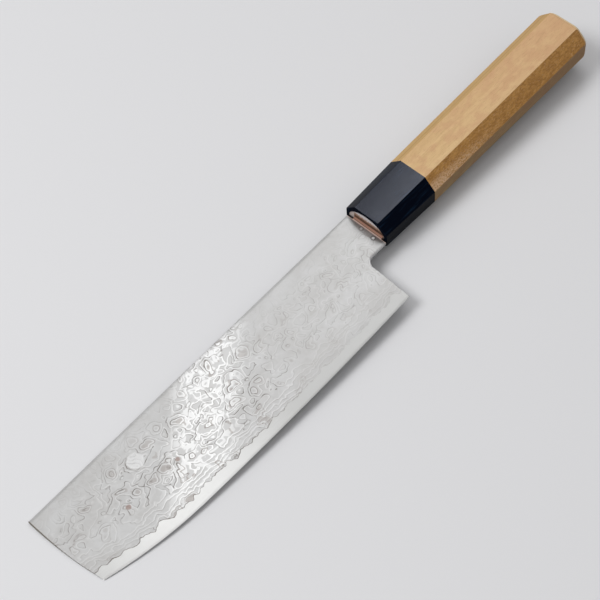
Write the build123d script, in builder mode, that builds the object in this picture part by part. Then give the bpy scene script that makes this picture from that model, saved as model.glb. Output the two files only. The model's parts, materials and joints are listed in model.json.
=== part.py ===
from build123d import *
import os
from math import atan2, cos, degrees, sin

os.makedirs("parts", exist_ok=True)

# Nakiri knife, in millimetres, lying on its right face.
# The knife has its own axes: x runs along the handle towards the butt, y towards the spine, z out of the
# left face, with zero on the handle's centre line at the ferrule's front face.

# Blade outline
shoulder_gap = 1.1
blade_length = 180.6
spine_height_neck = 9.65
spine_height_tip = 10.35
neck_width = 21.1
heel_setback = 12.9
heel_lean = 1.0
heel_depth = 35.0
choil_radius = 4.0
belly_bow = 0.88
sweep_start = 47.5
sweep_start_depth = 34.8
tip_edge_setback = 2.4
tip_edge_depth = 27.8
tip_face_bow = 1.0

# Blade section
neck_thickness = 2.1
tip_thickness = 1.7
face_thickness_at_edge = 0.84
core_thickness = 0.6
core_strip_width = 4.9
edge_bevel_width = 0.35
edge_bevel_thickness = 0.14

# Tang
tang_root_width = 15.4
tang_root_drop = 1.1
tang_length = 96.0
tang_end_width = 7.0
tang_end_thickness = 1.3
tang_end_radius = 2.5

# Ferrule and grip: eight-sided sections at three stations, each with the width that its bevels cut off
ferrule_length = 29.5
grip_length = 103.0
front_width = 21.8
front_depth = 16.8
front_bevel = 4.6
joint_width = 23.8
joint_depth = 18.1
joint_bevel = 5.35
butt_width = 25.1
butt_depth = 20.0
butt_bevel = 5.55
bevel_depth_share = 1.06
butt_round = 3.2
ferrule_front_round = 0.3

# Tenon, slot and bedding
tenon_width = 19.2
tenon_depth = 13.8
tenon_glue_gap = 0.05
tenon_recess = 0.2
bedding_gap = 0.35
bedding_recess = 1.4
bedding_floor = 2.0

# One overrun serves all cuts
overrun = 5.0

# Places that follow from the sizes above
shoulder_x = -shoulder_gap
tip_x = shoulder_x - blade_length
heel_x = shoulder_x - heel_setback
tip_edge_x = tip_x + tip_edge_setback
sweep_x = tip_edge_x + sweep_start
tang_end_x = shoulder_x + tang_length
butt_x = ferrule_length + grip_length
neck_foot = spine_height_neck - neck_width
ferrule_slope = (joint_depth - front_depth) / 2 / ferrule_length
face_slope = (neck_thickness - face_thickness_at_edge) / 2 / (spine_height_neck + heel_depth)

# The knife lies on the ferrule's front lower corner and on the right face's end at the tip, so the table
# passes through those three points. The origin is on the table, under the middle of the knife.
ferrule_rest_z = -front_depth / 2 - ferrule_slope * ferrule_front_round
ferrule_rest = Vector(ferrule_front_round, front_bevel - front_width / 2, ferrule_rest_z)
tip_spine_rest = Vector(tip_x, spine_height_tip, -tip_thickness / 2)
tip_low_z = face_slope * (spine_height_tip + tip_edge_depth) - tip_thickness / 2
tip_low_rest = Vector(tip_x, -tip_edge_depth, tip_low_z)
table_normal = (tip_low_rest - ferrule_rest).cross(tip_spine_rest - ferrule_rest)
if table_normal.Z < 0:
    table_normal = -table_normal
table = Plane(origin=ferrule_rest, x_dir=(1, 0, 0), z_dir=table_normal)
butt_low = table.to_local_coords(Vector(butt_x, 0, butt_round - butt_depth / 2))
tip_far = table.to_local_coords(tip_spine_rest)
belly_low = table.to_local_coords(Vector(sweep_x, -heel_depth - belly_bow, 0))
side_far = table.to_local_coords(Vector(butt_x - butt_round, butt_width / 2, 0))
middle_x = (butt_low.X + tip_far.X) / 2
middle_y = (side_far.Y + belly_low.Y) / 2
knife = Plane(Location((-middle_x, -middle_y, 0)) * table.location.inverse())


def station(x):
    """Plane across the knife at a distance x behind the ferrule's front face."""
    return Plane(origin=knife.from_local_coords((x, 0, 0)), x_dir=knife.y_dir, z_dir=knife.x_dir)


def turned(angle):
    """Level plane turned about the X axis, on which the stick is drawn before it takes its place."""
    return Plane(origin=(0, 0, 0), x_dir=(1, 0, 0), z_dir=Vector(0, 0, 1).rotate(Axis.X, angle))


def plane_through(first, second, third):
    """Plane through three points given on the knife's axes, its normal out of the left face."""
    normal = (second - first).cross(third - first)
    if normal.Z < 0:
        normal = -normal
    flat = Plane(origin=first, x_dir=second - first, z_dir=normal)
    return Plane(knife.location * flat.location)


def flats(width, depth, bevel):
    """Turn of each pair of opposite flats about the centre line, and the distance of each flat from it."""
    lean = atan2(1, bevel_depth_share)
    bevel_half = (width / 2 - bevel) * cos(lean) + depth / 2 * sin(lean)
    return [(0, width / 2), (90, depth / 2), (degrees(lean), bevel_half), (-degrees(lean), bevel_half)]


def eight_sided_stick(near_x, far_x, near_section, far_section, near_round, far_round):
    """Tapered eight-sided solid between two sections, its end rims rounded where a radius is given.

    It is what four strips have in common, one for each pair of opposite flats, put on the knife's axes.
    """
    with BuildPart() as stick:
        for (turn, near), (_, far) in zip(flats(*near_section), flats(*far_section)):
            with BuildSketch(turned(turn)) as strip:
                Polygon((near_x, -near), (far_x, -far), (far_x, far), (near_x, near), align=None)
                ends = strip.vertices().group_by(Axis.X)
                if near_round:
                    fillet(ends[0], radius=near_round)
                if far_round:
                    fillet(ends[-1], radius=far_round)
            extrude(amount=far_x - near_x, both=True, mode=Mode.INTERSECT if stick.part else Mode.ADD)
    return knife.location * stick.part


# Blade and tang outline. The cutting edge is left long here and is formed by the two grinds.
with BuildSketch() as blade_outline:
    with BuildLine():
        spine = Line((shoulder_x, spine_height_neck), (tip_x, spine_height_tip))
        tip_face = SagittaArc(spine @ 1, (tip_edge_x, -tip_edge_depth), -tip_face_bow)
        tip_run = PolarLine(tip_face @ 1, 2 * overrun, direction=tip_face % 1)
        heel_foot = (heel_x, -heel_depth)
        choil_foot = (heel_x + heel_lean, neck_foot)
        heel_direction = Vector(heel_foot) - Vector(choil_foot)
        heel_run = PolarLine(heel_foot, 2 * overrun, direction=heel_direction)
        Line(tip_run @ 1, heel_run @ 1)
        Line(heel_run @ 1, heel_foot)
        choil = FilletPolyline(heel_foot, choil_foot, (shoulder_x, neck_foot), radius=choil_radius)
        Line(choil @ 1, spine @ 0)
    make_face()

tang_root_low = -tang_root_drop - tang_root_width / 2
tang_root_high = -tang_root_drop + tang_root_width / 2
with BuildSketch() as tang_outline:
    with BuildLine():
        Polyline(
            (shoulder_x - overrun, tang_root_low),
            (shoulder_x, tang_root_low),
            (tang_end_x, -tang_end_width / 2),
            (tang_end_x, tang_end_width / 2),
            (shoulder_x, tang_root_high),
            (shoulder_x - overrun, tang_root_high),
            close=True,
        )
    make_face()
    fillet(tang_outline.vertices().group_by(Axis.X)[-1], radius=tang_end_radius)

with BuildSketch() as steel_outline:
    add(blade_outline.sketch)
    add(tang_outline.sketch)


# Cutting edge: a long shallow curve from the heel, then a tighter sweep up to the tip
with BuildLine():
    shallow = SagittaArc((heel_x, -heel_depth), (sweep_x, -sweep_start_depth), belly_bow)
    sweep_up = TangentArc(shallow @ 1, (tip_edge_x, -tip_edge_depth), tangent=shallow % 1)
    heel_tangent = shallow % 0
    tip_tangent = sweep_up % 1


def region_above_edge(plane, inset):
    """Sketch on the plane of all that lies above the cutting edge, the edge moved in by the inset."""
    runs = []
    for arc in (shallow, sweep_up):
        centre = arc.arc_center
        share = (arc.radius - inset) / arc.radius
        runs.append([centre + (arc @ place - centre) * share for place in (0, 0.5, 1)])
    heel_end = runs[0][0] - heel_tangent * blade_length
    tip_end = runs[1][2] + tip_tangent * heel_depth
    with BuildSketch(plane) as region:
        with BuildLine():
            Line(heel_end, runs[0][0])
            ThreePointArc(*runs[0])
            ThreePointArc(*runs[1])
            Line(runs[1][2], tip_end)
            Polyline(tip_end, (tip_end.X, blade_length), (heel_end.X, blade_length), heel_end)
        make_face()
    return region.sketch


def grind(near_inset, near_half, far_inset, far_half):
    """Solid left by grinding both faces through two half thicknesses, each at its inset from the edge."""
    run = (far_inset - near_inset) / (far_half - near_half)
    middle = region_above_edge(knife, near_inset - near_half * run)
    top = region_above_edge(knife.offset(neck_thickness), near_inset + (neck_thickness - near_half) * run)
    with BuildPart() as ground:
        loft((middle, top), ruled=True)
        mirror(about=knife)
    return ground.part


core_half = core_thickness / 2
edge_half = edge_bevel_thickness / 2
blade_grind = grind(edge_bevel_width, edge_half, core_strip_width, core_half)
edge_grind = grind(0, 0, edge_bevel_width, edge_half)

# The flat of the blade's face, and the face of the tang, which starts from it at the shoulder
neck_top = Vector(shoulder_x, spine_height_neck, neck_thickness / 2)
neck_low = Vector(shoulder_x, neck_foot, neck_thickness / 2 - face_slope * neck_width)
tip_top = Vector(tip_x, spine_height_tip, tip_thickness / 2)
tang_tail = Vector(tang_end_x, tang_end_width / 2, tang_end_thickness / 2)
blade_flat = plane_through(neck_top, neck_low, tip_top)
tang_flat = plane_through(neck_top, neck_low, tang_tail)

# Core steel, with the cutting edge
with BuildPart() as core_steel:
    with BuildSketch(knife):
        add(steel_outline.sketch)
    extrude(amount=core_half, both=True)
    add(blade_grind, mode=Mode.INTERSECT)
    add(edge_grind, mode=Mode.INTERSECT)

# Layered cladding on the left face and on the right face
with BuildPart() as cladding_left:
    with BuildSketch(knife.offset(core_half)):
        add(steel_outline.sketch)
    extrude(amount=neck_thickness - core_half)
    split(bisect_by=blade_flat, keep=Keep.BOTTOM)
    split(bisect_by=tang_flat, keep=Keep.BOTTOM)
    add(blade_grind, mode=Mode.INTERSECT)

with BuildPart() as cladding_right:
    mirror(cladding_left.part, about=knife)

# Slot burned into the wood, from the tenon's face to just past the tang
with BuildPart() as slot:
    with BuildSketch(station(tenon_recess)):
        with Locations((-tang_root_drop, 0)):
            Rectangle(tang_root_width + 2 * bedding_gap, neck_thickness + 2 * bedding_gap)
    with BuildSketch(station(tang_end_x + bedding_floor)):
        Rectangle(tang_end_width + 2 * bedding_gap, tang_end_thickness + 2 * bedding_gap)
    loft(ruled=True)

# Bedding between the tang and the slot, set back from the slot's mouth
with BuildPart() as tang_bedding:
    add(slot.part)
    split(bisect_by=station(bedding_recess), keep=Keep.TOP)
    for layer in (core_steel, cladding_left, cladding_right):
        add(layer.part, mode=Mode.SUBTRACT)

# Ferrule: tapered eight-sided ring with a rounded front rim and an oval bore
front_section = (front_width, front_depth, front_bevel)
joint_section = (joint_width, joint_depth, joint_bevel)
butt_section = (butt_width, butt_depth, butt_bevel)
with BuildPart() as ferrule:
    add(eight_sided_stick(0, ferrule_length, front_section, joint_section, ferrule_front_round, 0))
    with BuildSketch(station(0)):
        Ellipse(tenon_width / 2 + tenon_glue_gap, tenon_depth / 2 + tenon_glue_gap)
    extrude(amount=ferrule_length, mode=Mode.SUBTRACT)

# Grip: one stick of wood with its tenon, its rounded butt and the slot
with BuildPart() as handle_body:
    add(eight_sided_stick(ferrule_length, butt_x, joint_section, butt_section, 0, butt_round))
    with BuildSketch(station(tenon_recess)):
        Ellipse(tenon_width / 2, tenon_depth / 2)
    extrude(amount=ferrule_length - tenon_recess)
    add(slot.part, mode=Mode.SUBTRACT)

pieces = {
    "core_steel": core_steel,
    "cladding_left": cladding_left,
    "cladding_right": cladding_right,
    "tang_bedding": tang_bedding,
    "ferrule": ferrule,
    "handle_body": handle_body,
}
for name, piece in pieces.items():
    piece.part.label = name
    export_step(piece.part, f"parts/{name}.step")
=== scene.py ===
"""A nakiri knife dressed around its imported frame: layered blade, horn ferrule and magnolia grip."""

from __future__ import annotations

import json
import logging
import math
from abc import ABC, abstractmethod
from dataclasses import dataclass, field
from enum import Enum
from typing import Callable, Sequence

import bmesh
import bpy
from mathutils import Matrix, Vector, noise

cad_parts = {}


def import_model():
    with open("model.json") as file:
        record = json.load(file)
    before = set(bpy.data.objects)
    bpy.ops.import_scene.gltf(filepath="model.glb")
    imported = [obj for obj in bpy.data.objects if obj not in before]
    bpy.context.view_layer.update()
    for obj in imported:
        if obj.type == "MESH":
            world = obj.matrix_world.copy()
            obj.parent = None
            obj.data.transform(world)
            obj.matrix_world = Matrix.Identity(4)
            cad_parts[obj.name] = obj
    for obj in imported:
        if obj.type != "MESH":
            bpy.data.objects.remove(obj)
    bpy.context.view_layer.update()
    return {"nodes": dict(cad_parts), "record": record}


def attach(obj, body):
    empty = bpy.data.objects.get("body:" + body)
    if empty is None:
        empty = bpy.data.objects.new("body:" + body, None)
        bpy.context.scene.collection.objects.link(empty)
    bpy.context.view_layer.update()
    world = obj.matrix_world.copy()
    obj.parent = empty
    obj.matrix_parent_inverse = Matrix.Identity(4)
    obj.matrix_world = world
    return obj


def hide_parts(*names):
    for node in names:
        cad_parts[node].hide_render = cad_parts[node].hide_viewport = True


LOG = logging.getLogger("nakiri")
MM = 0.001

Colour = tuple[float, float, float, float]
Fade = tuple[float, float]
Triple = tuple[float, float, float]


def tone(red: int, green: int, blue: int) -> Colour:
    """Linear colour of a display colour.

    Args:
        red: Red in steps of 0 to 255, as the other two are.
        green: Green.
        blue: Blue.

    Returns:
        The linear colour, opaque.
    """
    parts = [part / 255 for part in (red, green, blue)]
    linear = [part / 12.92 if part <= 0.04045 else ((part + 0.055) / 1.055) ** 2.4 for part in parts]
    return (linear[0], linear[1], linear[2], 1.0)


def blend(first: float, second: float, share: float) -> float:
    """Value that lies a share of the way from the first to the second."""
    return first + (second - first) * share


# A Mix node's sockets for colours: the share and the two colours, and the result
MIX_INPUTS: tuple[int, int, int] = (0, 6, 7)
MIX_RESULT: int = 2
# Sides of the handle's section
SIDES: int = 8
# Directions on the knife's axes
TO_TIP: Triple = (-1.0, 0.0, 0.0)
TO_BUTT: Triple = (1.0, 0.0, 0.0)
TO_SPINE: Triple = (0.0, 1.0, 0.0)
OUTWARD: Triple = (0.0, 0.0, 1.0)


class Side(Enum):
    """Face of the blade, with the direction in which it looks along the knife's out axis."""

    LEFT = 1
    RIGHT = -1


# Axes


@dataclass(frozen=True)
class KnifeAxes:
    """The knife's own axes in the part's frame: along to the butt, up to the spine, out of the left face."""

    origin: Vector
    along: Vector
    up: Vector
    out: Vector

    @classmethod
    def from_record(cls, record: dict, handle_length: float) -> KnifeAxes:
        """Reads the axes from the faces that the record names.

        Args:
            record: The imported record.
            handle_length: From the ferrule's front face to the butt, in millimetres.

        Returns:
            The axes, with their origin in the ferrule's front face.
        """
        mounts = {mount["name"]: mount for mount in record["mounts"]}
        along = Vector(mounts["butt_end"]["axis"]).normalized()
        left = Vector(mounts["blade_face_left"]["axis"])
        right = Vector(mounts["blade_face_right"]["axis"])
        up = (left - right).cross(along).normalized()
        origin = Vector(mounts["butt_end"]["pos_m"]) - along * handle_length * MM
        return cls(origin, along, up, along.cross(up))

    def matrix(self) -> Matrix:
        """Takes millimetres on the knife's axes to metres in the part's frame."""
        columns = Matrix((self.along, self.up, self.out)).transposed()
        return Matrix.Translation(self.origin) @ (columns * MM).to_4x4()


# Node trees


def feed(tree: bpy.types.NodeTree, socket: bpy.types.NodeSocket, value: object) -> None:
    """Links a term to a socket, or sets the socket to a plain value.

    Args:
        tree: The tree that holds the socket.
        socket: The input to feed.
        value: A Term, or a number, vector or colour.
    """
    if isinstance(value, Term):
        tree.links.new(value.socket, socket)
    else:
        socket.default_value = value


def math_step(operation: str) -> Callable[..., Term]:
    """Makes a method of Term that adds one Math node.

    Args:
        operation: The node's operation.

    Returns:
        The method, which takes the operation's further inputs.
    """

    def step(term: Term, *others: Term | float) -> Term:
        """Adds the node and gives its result."""
        return term.math(operation, *others)

    return step


class Term:
    """A number or vector that a node tree works out. Arithmetic on it adds Math nodes to the tree."""

    __add__ = math_step("ADD")
    __sub__ = math_step("SUBTRACT")
    __mul__ = math_step("MULTIPLY")
    __truediv__ = math_step("DIVIDE")
    __mod__ = math_step("FLOORED_MODULO")
    floor = math_step("FLOOR")
    fraction = math_step("FRACT")
    size = math_step("ABSOLUTE")
    sign = math_step("SIGN")
    sin = math_step("SINE")
    cos = math_step("COSINE")
    root = math_step("SQRT")
    over = math_step("GREATER_THAN")
    least = math_step("MINIMUM")
    most = math_step("MAXIMUM")

    def __init__(self, tree: bpy.types.NodeTree, socket: bpy.types.NodeSocket) -> None:
        """Keeps the tree and the output socket."""
        self.tree = tree
        self.socket = socket

    def math(self, operation: str, *others: Term | float) -> Term:
        """Adds a Math node that reads this term and the others.

        Args:
            operation: The Math node's operation.
            *others: The operation's further inputs.

        Returns:
            The node's result.
        """
        node = self.tree.nodes.new("ShaderNodeMath")
        node.operation = operation
        for socket, value in zip(node.inputs, (self, *others)):
            feed(self.tree, socket, value)
        return Term(self.tree, node.outputs[0])

    def __neg__(self) -> Term:
        """The term with its sign changed."""
        return self * -1.0

    def rise(self, start: float, end: float) -> Term:
        """Smooth step, upward or downward.

        Args:
            start: Where the step is still 0.
            end: Where it has reached 1, over or under the start.

        Returns:
            The step, from 0 to 1.
        """
        node = self.tree.nodes.new("ShaderNodeMapRange")
        node.interpolation_type = "SMOOTHSTEP"
        low, high = (start, end) if start < end else (end, start)
        targets = (0.0, 1.0) if start < end else (1.0, 0.0)
        for socket, value in zip(node.inputs, (self, low, high, *targets)):
            feed(self.tree, socket, value)
        return Term(self.tree, node.outputs[0])

    def parts(self) -> tuple[Term, Term, Term]:
        """Splits a vector.

        Returns:
            Its three components.
        """
        node = self.tree.nodes.new("ShaderNodeSeparateXYZ")
        self.tree.links.new(self.socket, node.inputs[0])
        return tuple(Term(self.tree, output) for output in node.outputs)


def mix_colours(tree: bpy.types.NodeTree, share: Term, first: Term | Colour, second: Term | Colour) -> Term:
    """Adds a node that mixes two colours.

    Args:
        tree: The tree that gets the node.
        share: The second colour's share, from 0 to 1.
        first: The colour at 0.
        second: The colour at 1.

    Returns:
        The mixed colour.
    """
    node = tree.nodes.new("ShaderNodeMix")
    node.data_type = "RGBA"
    for index, value in zip(MIX_INPUTS, (share, first, second)):
        feed(tree, node.inputs[index], value)
    return Term(tree, node.outputs[MIX_RESULT])


@dataclass(frozen=True)
class Cloud:
    """Noise in knife coordinates: how fine it is along each axis, its texture, and how it fades in."""

    scale: Triple
    shift: float = 0.0
    detail: float = 2.0
    roughness: float = 0.5
    distortion: float = 0.0
    fade: Fade = (0.0, 1.0)
    share: float = 1.0


class Painter:
    """Lays out the nodes of one material. Lengths in it are millimetres on the knife's axes."""

    def __init__(self, name: str, axes: KnifeAxes) -> None:
        """Makes the material and its knife coordinates.

        Args:
            name: The material's name.
            axes: The knife's axes in the part's frame.
        """
        self.material = bpy.data.materials.new(name)
        self.material.use_nodes = True
        self.tree = self.material.node_tree
        self.shader = self.tree.nodes["Principled BSDF"]
        coordinates = self.node("ShaderNodeTexCoord")
        mapping = self.node("ShaderNodeMapping")
        turn = Matrix((axes.along, axes.up, axes.out))
        mapping.inputs["Scale"].default_value = (1 / MM, 1 / MM, 1 / MM)
        mapping.inputs["Rotation"].default_value = turn.to_euler()
        mapping.inputs["Location"].default_value = -(turn @ axes.origin) / MM
        self.tree.links.new(coordinates.outputs["Object"], mapping.inputs["Vector"])
        self.place = Term(self.tree, mapping.outputs["Vector"])
        self.x, self.y, self.z = self.place.parts()
        self.axes = axes
        self.normal = Term(self.tree, coordinates.outputs["Normal"])

    def node(self, kind: str, **settings: object) -> bpy.types.Node:
        """Adds a node and sets its properties.

        Args:
            kind: The node's type.
            **settings: Properties of the node, by name.

        Returns:
            The node.
        """
        made = self.tree.nodes.new(kind)
        for name, value in settings.items():
            setattr(made, name, value)
        return made

    def vector(self, x: Term | float, y: Term | float, z: Term | float) -> Term:
        """Puts a vector together.

        Args:
            x: Its first component.
            y: Its second component.
            z: Its third component.

        Returns:
            The vector.
        """
        node = self.node("ShaderNodeCombineXYZ")
        for socket, value in zip(node.inputs, (x, y, z)):
            feed(self.tree, socket, value)
        return Term(self.tree, node.outputs[0])

    def scaled(self, scale: Triple, shift: float = 0.0) -> Term:
        """Scales knife coordinates for a pattern.

        Args:
            scale: Factor along each axis.
            shift: Added to each axis, to read another part of the pattern.

        Returns:
            The place at which the pattern is read.
        """
        node = self.node("ShaderNodeVectorMath", operation="MULTIPLY_ADD")
        feed(self.tree, node.inputs[0], self.place)
        node.inputs[1].default_value = scale
        node.inputs[2].default_value = (shift, shift, shift)
        return Term(self.tree, node.outputs[0])

    def noise(self, place: Term, cloud: Cloud) -> Term:
        """Cloudy noise at a place worked out before.

        Args:
            place: Where it is read, already scaled.
            cloud: Gives the noise its texture.

        Returns:
            The noise, from 0 to 1.
        """
        node = self.node("ShaderNodeTexNoise")
        self.tree.links.new(place.socket, node.inputs["Vector"])
        settings = {"Scale": 1.0, "Detail": cloud.detail, "Roughness": cloud.roughness}
        settings["Distortion"] = cloud.distortion
        for name, value in settings.items():
            node.inputs[name].default_value = value
        return Term(self.tree, node.outputs[0])

    def cloud(self, cloud: Cloud, shift: float = 0.0) -> Term:
        """Cloudy noise in knife coordinates, from 0 to 1, moved by a shift of its own."""
        return self.noise(self.scaled(cloud.scale, cloud.shift + shift), cloud)

    def faded(self, cloud: Cloud, shift: float = 0.0) -> Term:
        """The same noise, faded in between the cloud's two values up to its share."""
        return self.cloud(cloud, shift).rise(*cloud.fade) * cloud.share

    def glaze(self, cloud: Cloud, first: Term | Colour, second: Colour, shift: float = 0.0) -> Term:
        """The first colour, with the second laid over it where the cloud has faded in."""
        return self.mix(self.faded(cloud, shift), first, second)

    def facing(self, direction: Triple) -> Term:
        """How squarely the surface looks in a direction.

        Args:
            direction: The direction along, up and out on the knife's axes.

        Returns:
            From -1 to 1.
        """
        along, up, out = direction
        turned = self.axes.along * along + self.axes.up * up + self.axes.out * out
        node = self.node("ShaderNodeVectorMath", operation="DOT_PRODUCT")
        feed(self.tree, node.inputs[0], self.normal)
        node.inputs[1].default_value = turned.normalized()
        return Term(self.tree, node.outputs["Value"])

    def reach(self, x: float, y: float) -> Term:
        """Distance from a point of the blade's face."""
        along, across = self.x - x, self.y - y
        return (along * along + across * across).root()

    def cells(self, place: Term) -> Term:
        """Distance to the nearest of many scattered points.

        Args:
            place: Where it is read, already scaled.

        Returns:
            The distance, at scale 1.
        """
        node = self.node("ShaderNodeTexVoronoi")
        self.tree.links.new(place.socket, node.inputs["Vector"])
        node.inputs["Scale"].default_value = 1.0
        return Term(self.tree, node.outputs["Distance"])

    def attribute(self, name: str) -> Term:
        """A number that the mesh carries on its points."""
        node = self.node("ShaderNodeAttribute", attribute_name=name)
        return Term(self.tree, node.outputs["Fac"])

    def mix(self, share: Term, first: Term | Colour, second: Term | Colour) -> Term:
        """Mixes two colours.

        Args:
            share: The second colour's share, from 0 to 1.
            first: The colour at 0.
            second: The colour at 1.

        Returns:
            The mixed colour.
        """
        return mix_colours(self.tree, share, first, second)

    def lean(self, share: Term, first: float, second: float) -> Term:
        """Number that goes from the first to the second as the share goes from 0 to 1."""
        return share * (second - first) + first

    def relief(self, height: Term, depth: float) -> None:
        """Feeds a fine relief to the shader's normal.

        Args:
            height: The relief, from 0 to 1.
            depth: How deep it is from 0 to 1, in millimetres.
        """
        node = self.node("ShaderNodeBump")
        feed(self.tree, node.inputs["Height"], height)
        node.inputs["Distance"].default_value = depth * MM
        node.inputs["Strength"].default_value = 1.0
        self.tree.links.new(node.outputs["Normal"], self.shader.inputs["Normal"])

    def dress(self, **values: object) -> bpy.types.Material:
        """Feeds the shader.

        Args:
            **values: Terms or plain values by the input's name, with low lines for its spaces.

        Returns:
            The material.
        """
        for name, value in values.items():
            feed(self.tree, self.shader.inputs[name.replace("_", " ").title().replace("Ior", "IOR")], value)
        return self.material


# Finishes


class Finish(ABC):
    """Material of one of the knife's own stuffs, which keeps to the knife's axes."""

    label: str

    def build(self, axes: KnifeAxes) -> bpy.types.Material:
        """Makes the material in the part's frame."""
        return self.lay(Painter(self.label, axes))

    @abstractmethod
    def lay(self, paint: Painter) -> bpy.types.Material:
        """Lays out the nodes and gives the material.

        Args:
            paint: The painter of the new material.

        Returns:
            The material.
        """


@dataclass(frozen=True)
class LayeredSteel(Finish):
    """Etched cladding of many thin layers, whose edges show as closed rings and wavy lines."""

    side: Side
    bright_vein_and_highlight: Colour = tone(232, 232, 232)
    plain: Colour = tone(184, 184, 184)
    plate: Colour = tone(175, 174, 173)
    etched: Colour = tone(104, 98, 92)
    rust: Colour = tone(132, 120, 112)
    # Grey of the painted reflection of the dark ferrule on the neck.
    soot: Colour = tone(146, 140, 138)
    ring: Colour = tone(104, 98, 98)
    copper: Colour = tone(196, 152, 132)
    rosy_steel: Colour = tone(216, 188, 176)
    burnt: Colour = tone(96, 62, 48)
    stain: Colour = tone(140, 118, 110)
    disc_steel: Colour = tone(205, 205, 205)
    ground: Colour = tone(122, 114, 104)
    rolling: Cloud = Cloud((0.165, 0.18975, 0.0), 0.0, 1.4, 0.5, 0.35)
    dimples: Cloud = Cloud((0.14, 0.15, 0.0))
    dimple_middle: float = 0.45
    dimple_depth: float = 0.4
    waves: Cloud = Cloud((0.15, 0.19, 0.0), 7.0, 2.2, 0.5, 0.3)
    patches: Cloud = Cloud((0.25, 0.3, 0.0), 2.0, fade=(0.35, 0.62))
    network: Cloud = Cloud((0.14, 0.17, 0.0), 12.0, 1.5, 0.5, 0.6)
    broad: Cloud = Cloud((0.06, 0.09, 0.0), 5.0, fade=(0.35, 0.65), share=0.7)
    small: Cloud = Cloud((0.35, 0.4, 0.0), 15.0, fade=(0.4, 0.7), share=0.3)
    swell: Cloud = Cloud((0.16, 0.0, 0.0), 31.0, fade=(0.45, 0.7))
    wobble: Cloud = Cloud((0.35, 0.35, 0.0), 9.0)
    spot_edge: Cloud = Cloud((1.2, 1.2, 0.0), 6.0)
    ferrule_reflection_patches: Cloud = Cloud((0.7, 0.5, 0.0), 21.0, 3.0, 0.6, fade=(0.3, 0.7), share=0.45)
    ring_layers: float = 6.6
    seam_layers: float = 0.55
    seam_waves: float = 4.5
    seam_zone: Fade = (18.0, 8.0)
    seam_middle: float = 12.0
    first_layer: float = 40.0
    step: float = 0.12
    least_slope: float = 0.18
    # Direction of the light whose shading is painted onto the layer lines, and the strength of that painted
    # shading.
    light: tuple[float, float] = (-0.55, 0.83)
    painted_relief_shading: float = 0.8
    dark_line: Fade = (0.5, 0.1)
    dark_least: float = 0.3
    dark_share: float = 0.85
    patch_least: float = 0.35
    bright_line: Fade = (0.7, 0.2)
    bright_least: float = 0.25
    bright_share: Fade = (0.18, 0.7)
    layer_start: Fade = (0.0, 0.05)
    layer_end: Fade = (0.3, 0.2)
    vein_width: Fade = (0.055, 0.03)
    vein_share: Fade = (0.68, 0.3)
    vein_zone: Fade = (14.0, 7.0)
    plain_vein_share: float = 0.06
    eye_level: float = 0.63
    eye_width: Fade = (0.022, 0.008)
    eye_middle: Fade = (0.7, 0.72)
    eye_share: Fade = (0.32, 0.5)
    # Painted highlight: how much brighter the plates are painted in the band, where the band lies and how it
    # fades.
    plate_painted_highlight: float = 0.25
    painted_highlight_band: Triple = (-86.0, 8.0, 1.15)
    painted_highlight_fade: Fade = (26.0, 7.0)
    heel_fade: Fade = (-58.0, -88.0)
    spine_fade: Fade = (7.0, -3.0)
    tip_fade: Fade = (-142.0, -165.0)
    faintest: Triple = (0.38, 0.2, 0.6)
    painted_highlight_contrast: float = 0.85
    seam_fade: Fade = (-72.0, -98.0)
    seam_width: Fade = (0.3, 0.75)
    seam_edge: Fade = (1.0, 0.3)
    seam_share: Fade = (0.05, 0.9)
    tang_start: Fade = (-1.5, -1.2)
    tang_metal: float = 0.25
    tip_rim: Fade = (0.04, 0.15)
    # Where the spine's rounded rim is painted bright: painted light.
    painted_spine_light: Fade = (0.08, 0.3)
    painted_spine_light_end: Fade = (0.95, 0.85)
    rim_metal: float = 0.3
    rim_roughness: float = 0.45
    roughness: Fade = (0.34, 0.48)
    bright_polish: float = 0.06
    bright_height: float = 0.6
    relief_depth: float = 0.012
    disc: Triple = (-137.6, -2.7, 3.4)
    disc_waver: float = 1.4
    disc_edge: Fade = (0.7, -0.5)
    disc_share: float = 0.75
    disc_rim_gap: float = 0.35
    disc_rim_width: Fade = (0.5, 0.1)
    disc_rim_side: Fade = (2.0, -2.5)
    disc_rim_share: float = 0.35
    stains: Sequence[tuple[float, float]] = ((-152.8, -14.3), (-126.5, -14.3))
    stain_edge: Fade = (1.3, 0.7)
    stain_share: float = 0.7
    spots: Sequence[Triple] = ((-2.3, 0.7, 0.45), (-2.68, -6.0, 0.9))
    spot_waver: float = 0.5
    spot_size: Fade = (0.75, 0.4)
    spot_ring: float = 0.9
    spot_ring_width: Fade = (0.45, 0.15)
    spot_ring_share: float = 0.8
    # Arc, bulge, edge and strength of the painted reflection of the ferrule on the neck, darker still next to
    # the tang.
    ferrule_reflection_arc: Triple = (-3.75, -2.5, 9.5)
    ferrule_reflection_bulge: float = 1.9
    ferrule_reflection_edge: Fade = (-0.15, 0.15)
    ferrule_reflection_least: float = 0.4
    reflection_by_tang: Fade = (-3.2, -1.4)
    reflection_by_tang_share: float = 0.15
    rosy_start: Fade = (-1.4, -1.15)
    tang_line: float = -0.6
    tang_line_width: Fade = (0.2, 0.08)
    tang_line_share: float = 0.85
    copper_width: float = 0.2

    @property
    def label(self) -> str:
        """The material's name, one for each face."""
        return f"layered_steel_{self.side.name.lower()}"

    @property
    def _shift(self) -> float:
        """Moves the right face's pattern to another part of the noise."""
        return 3.0 * self.side.value

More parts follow.
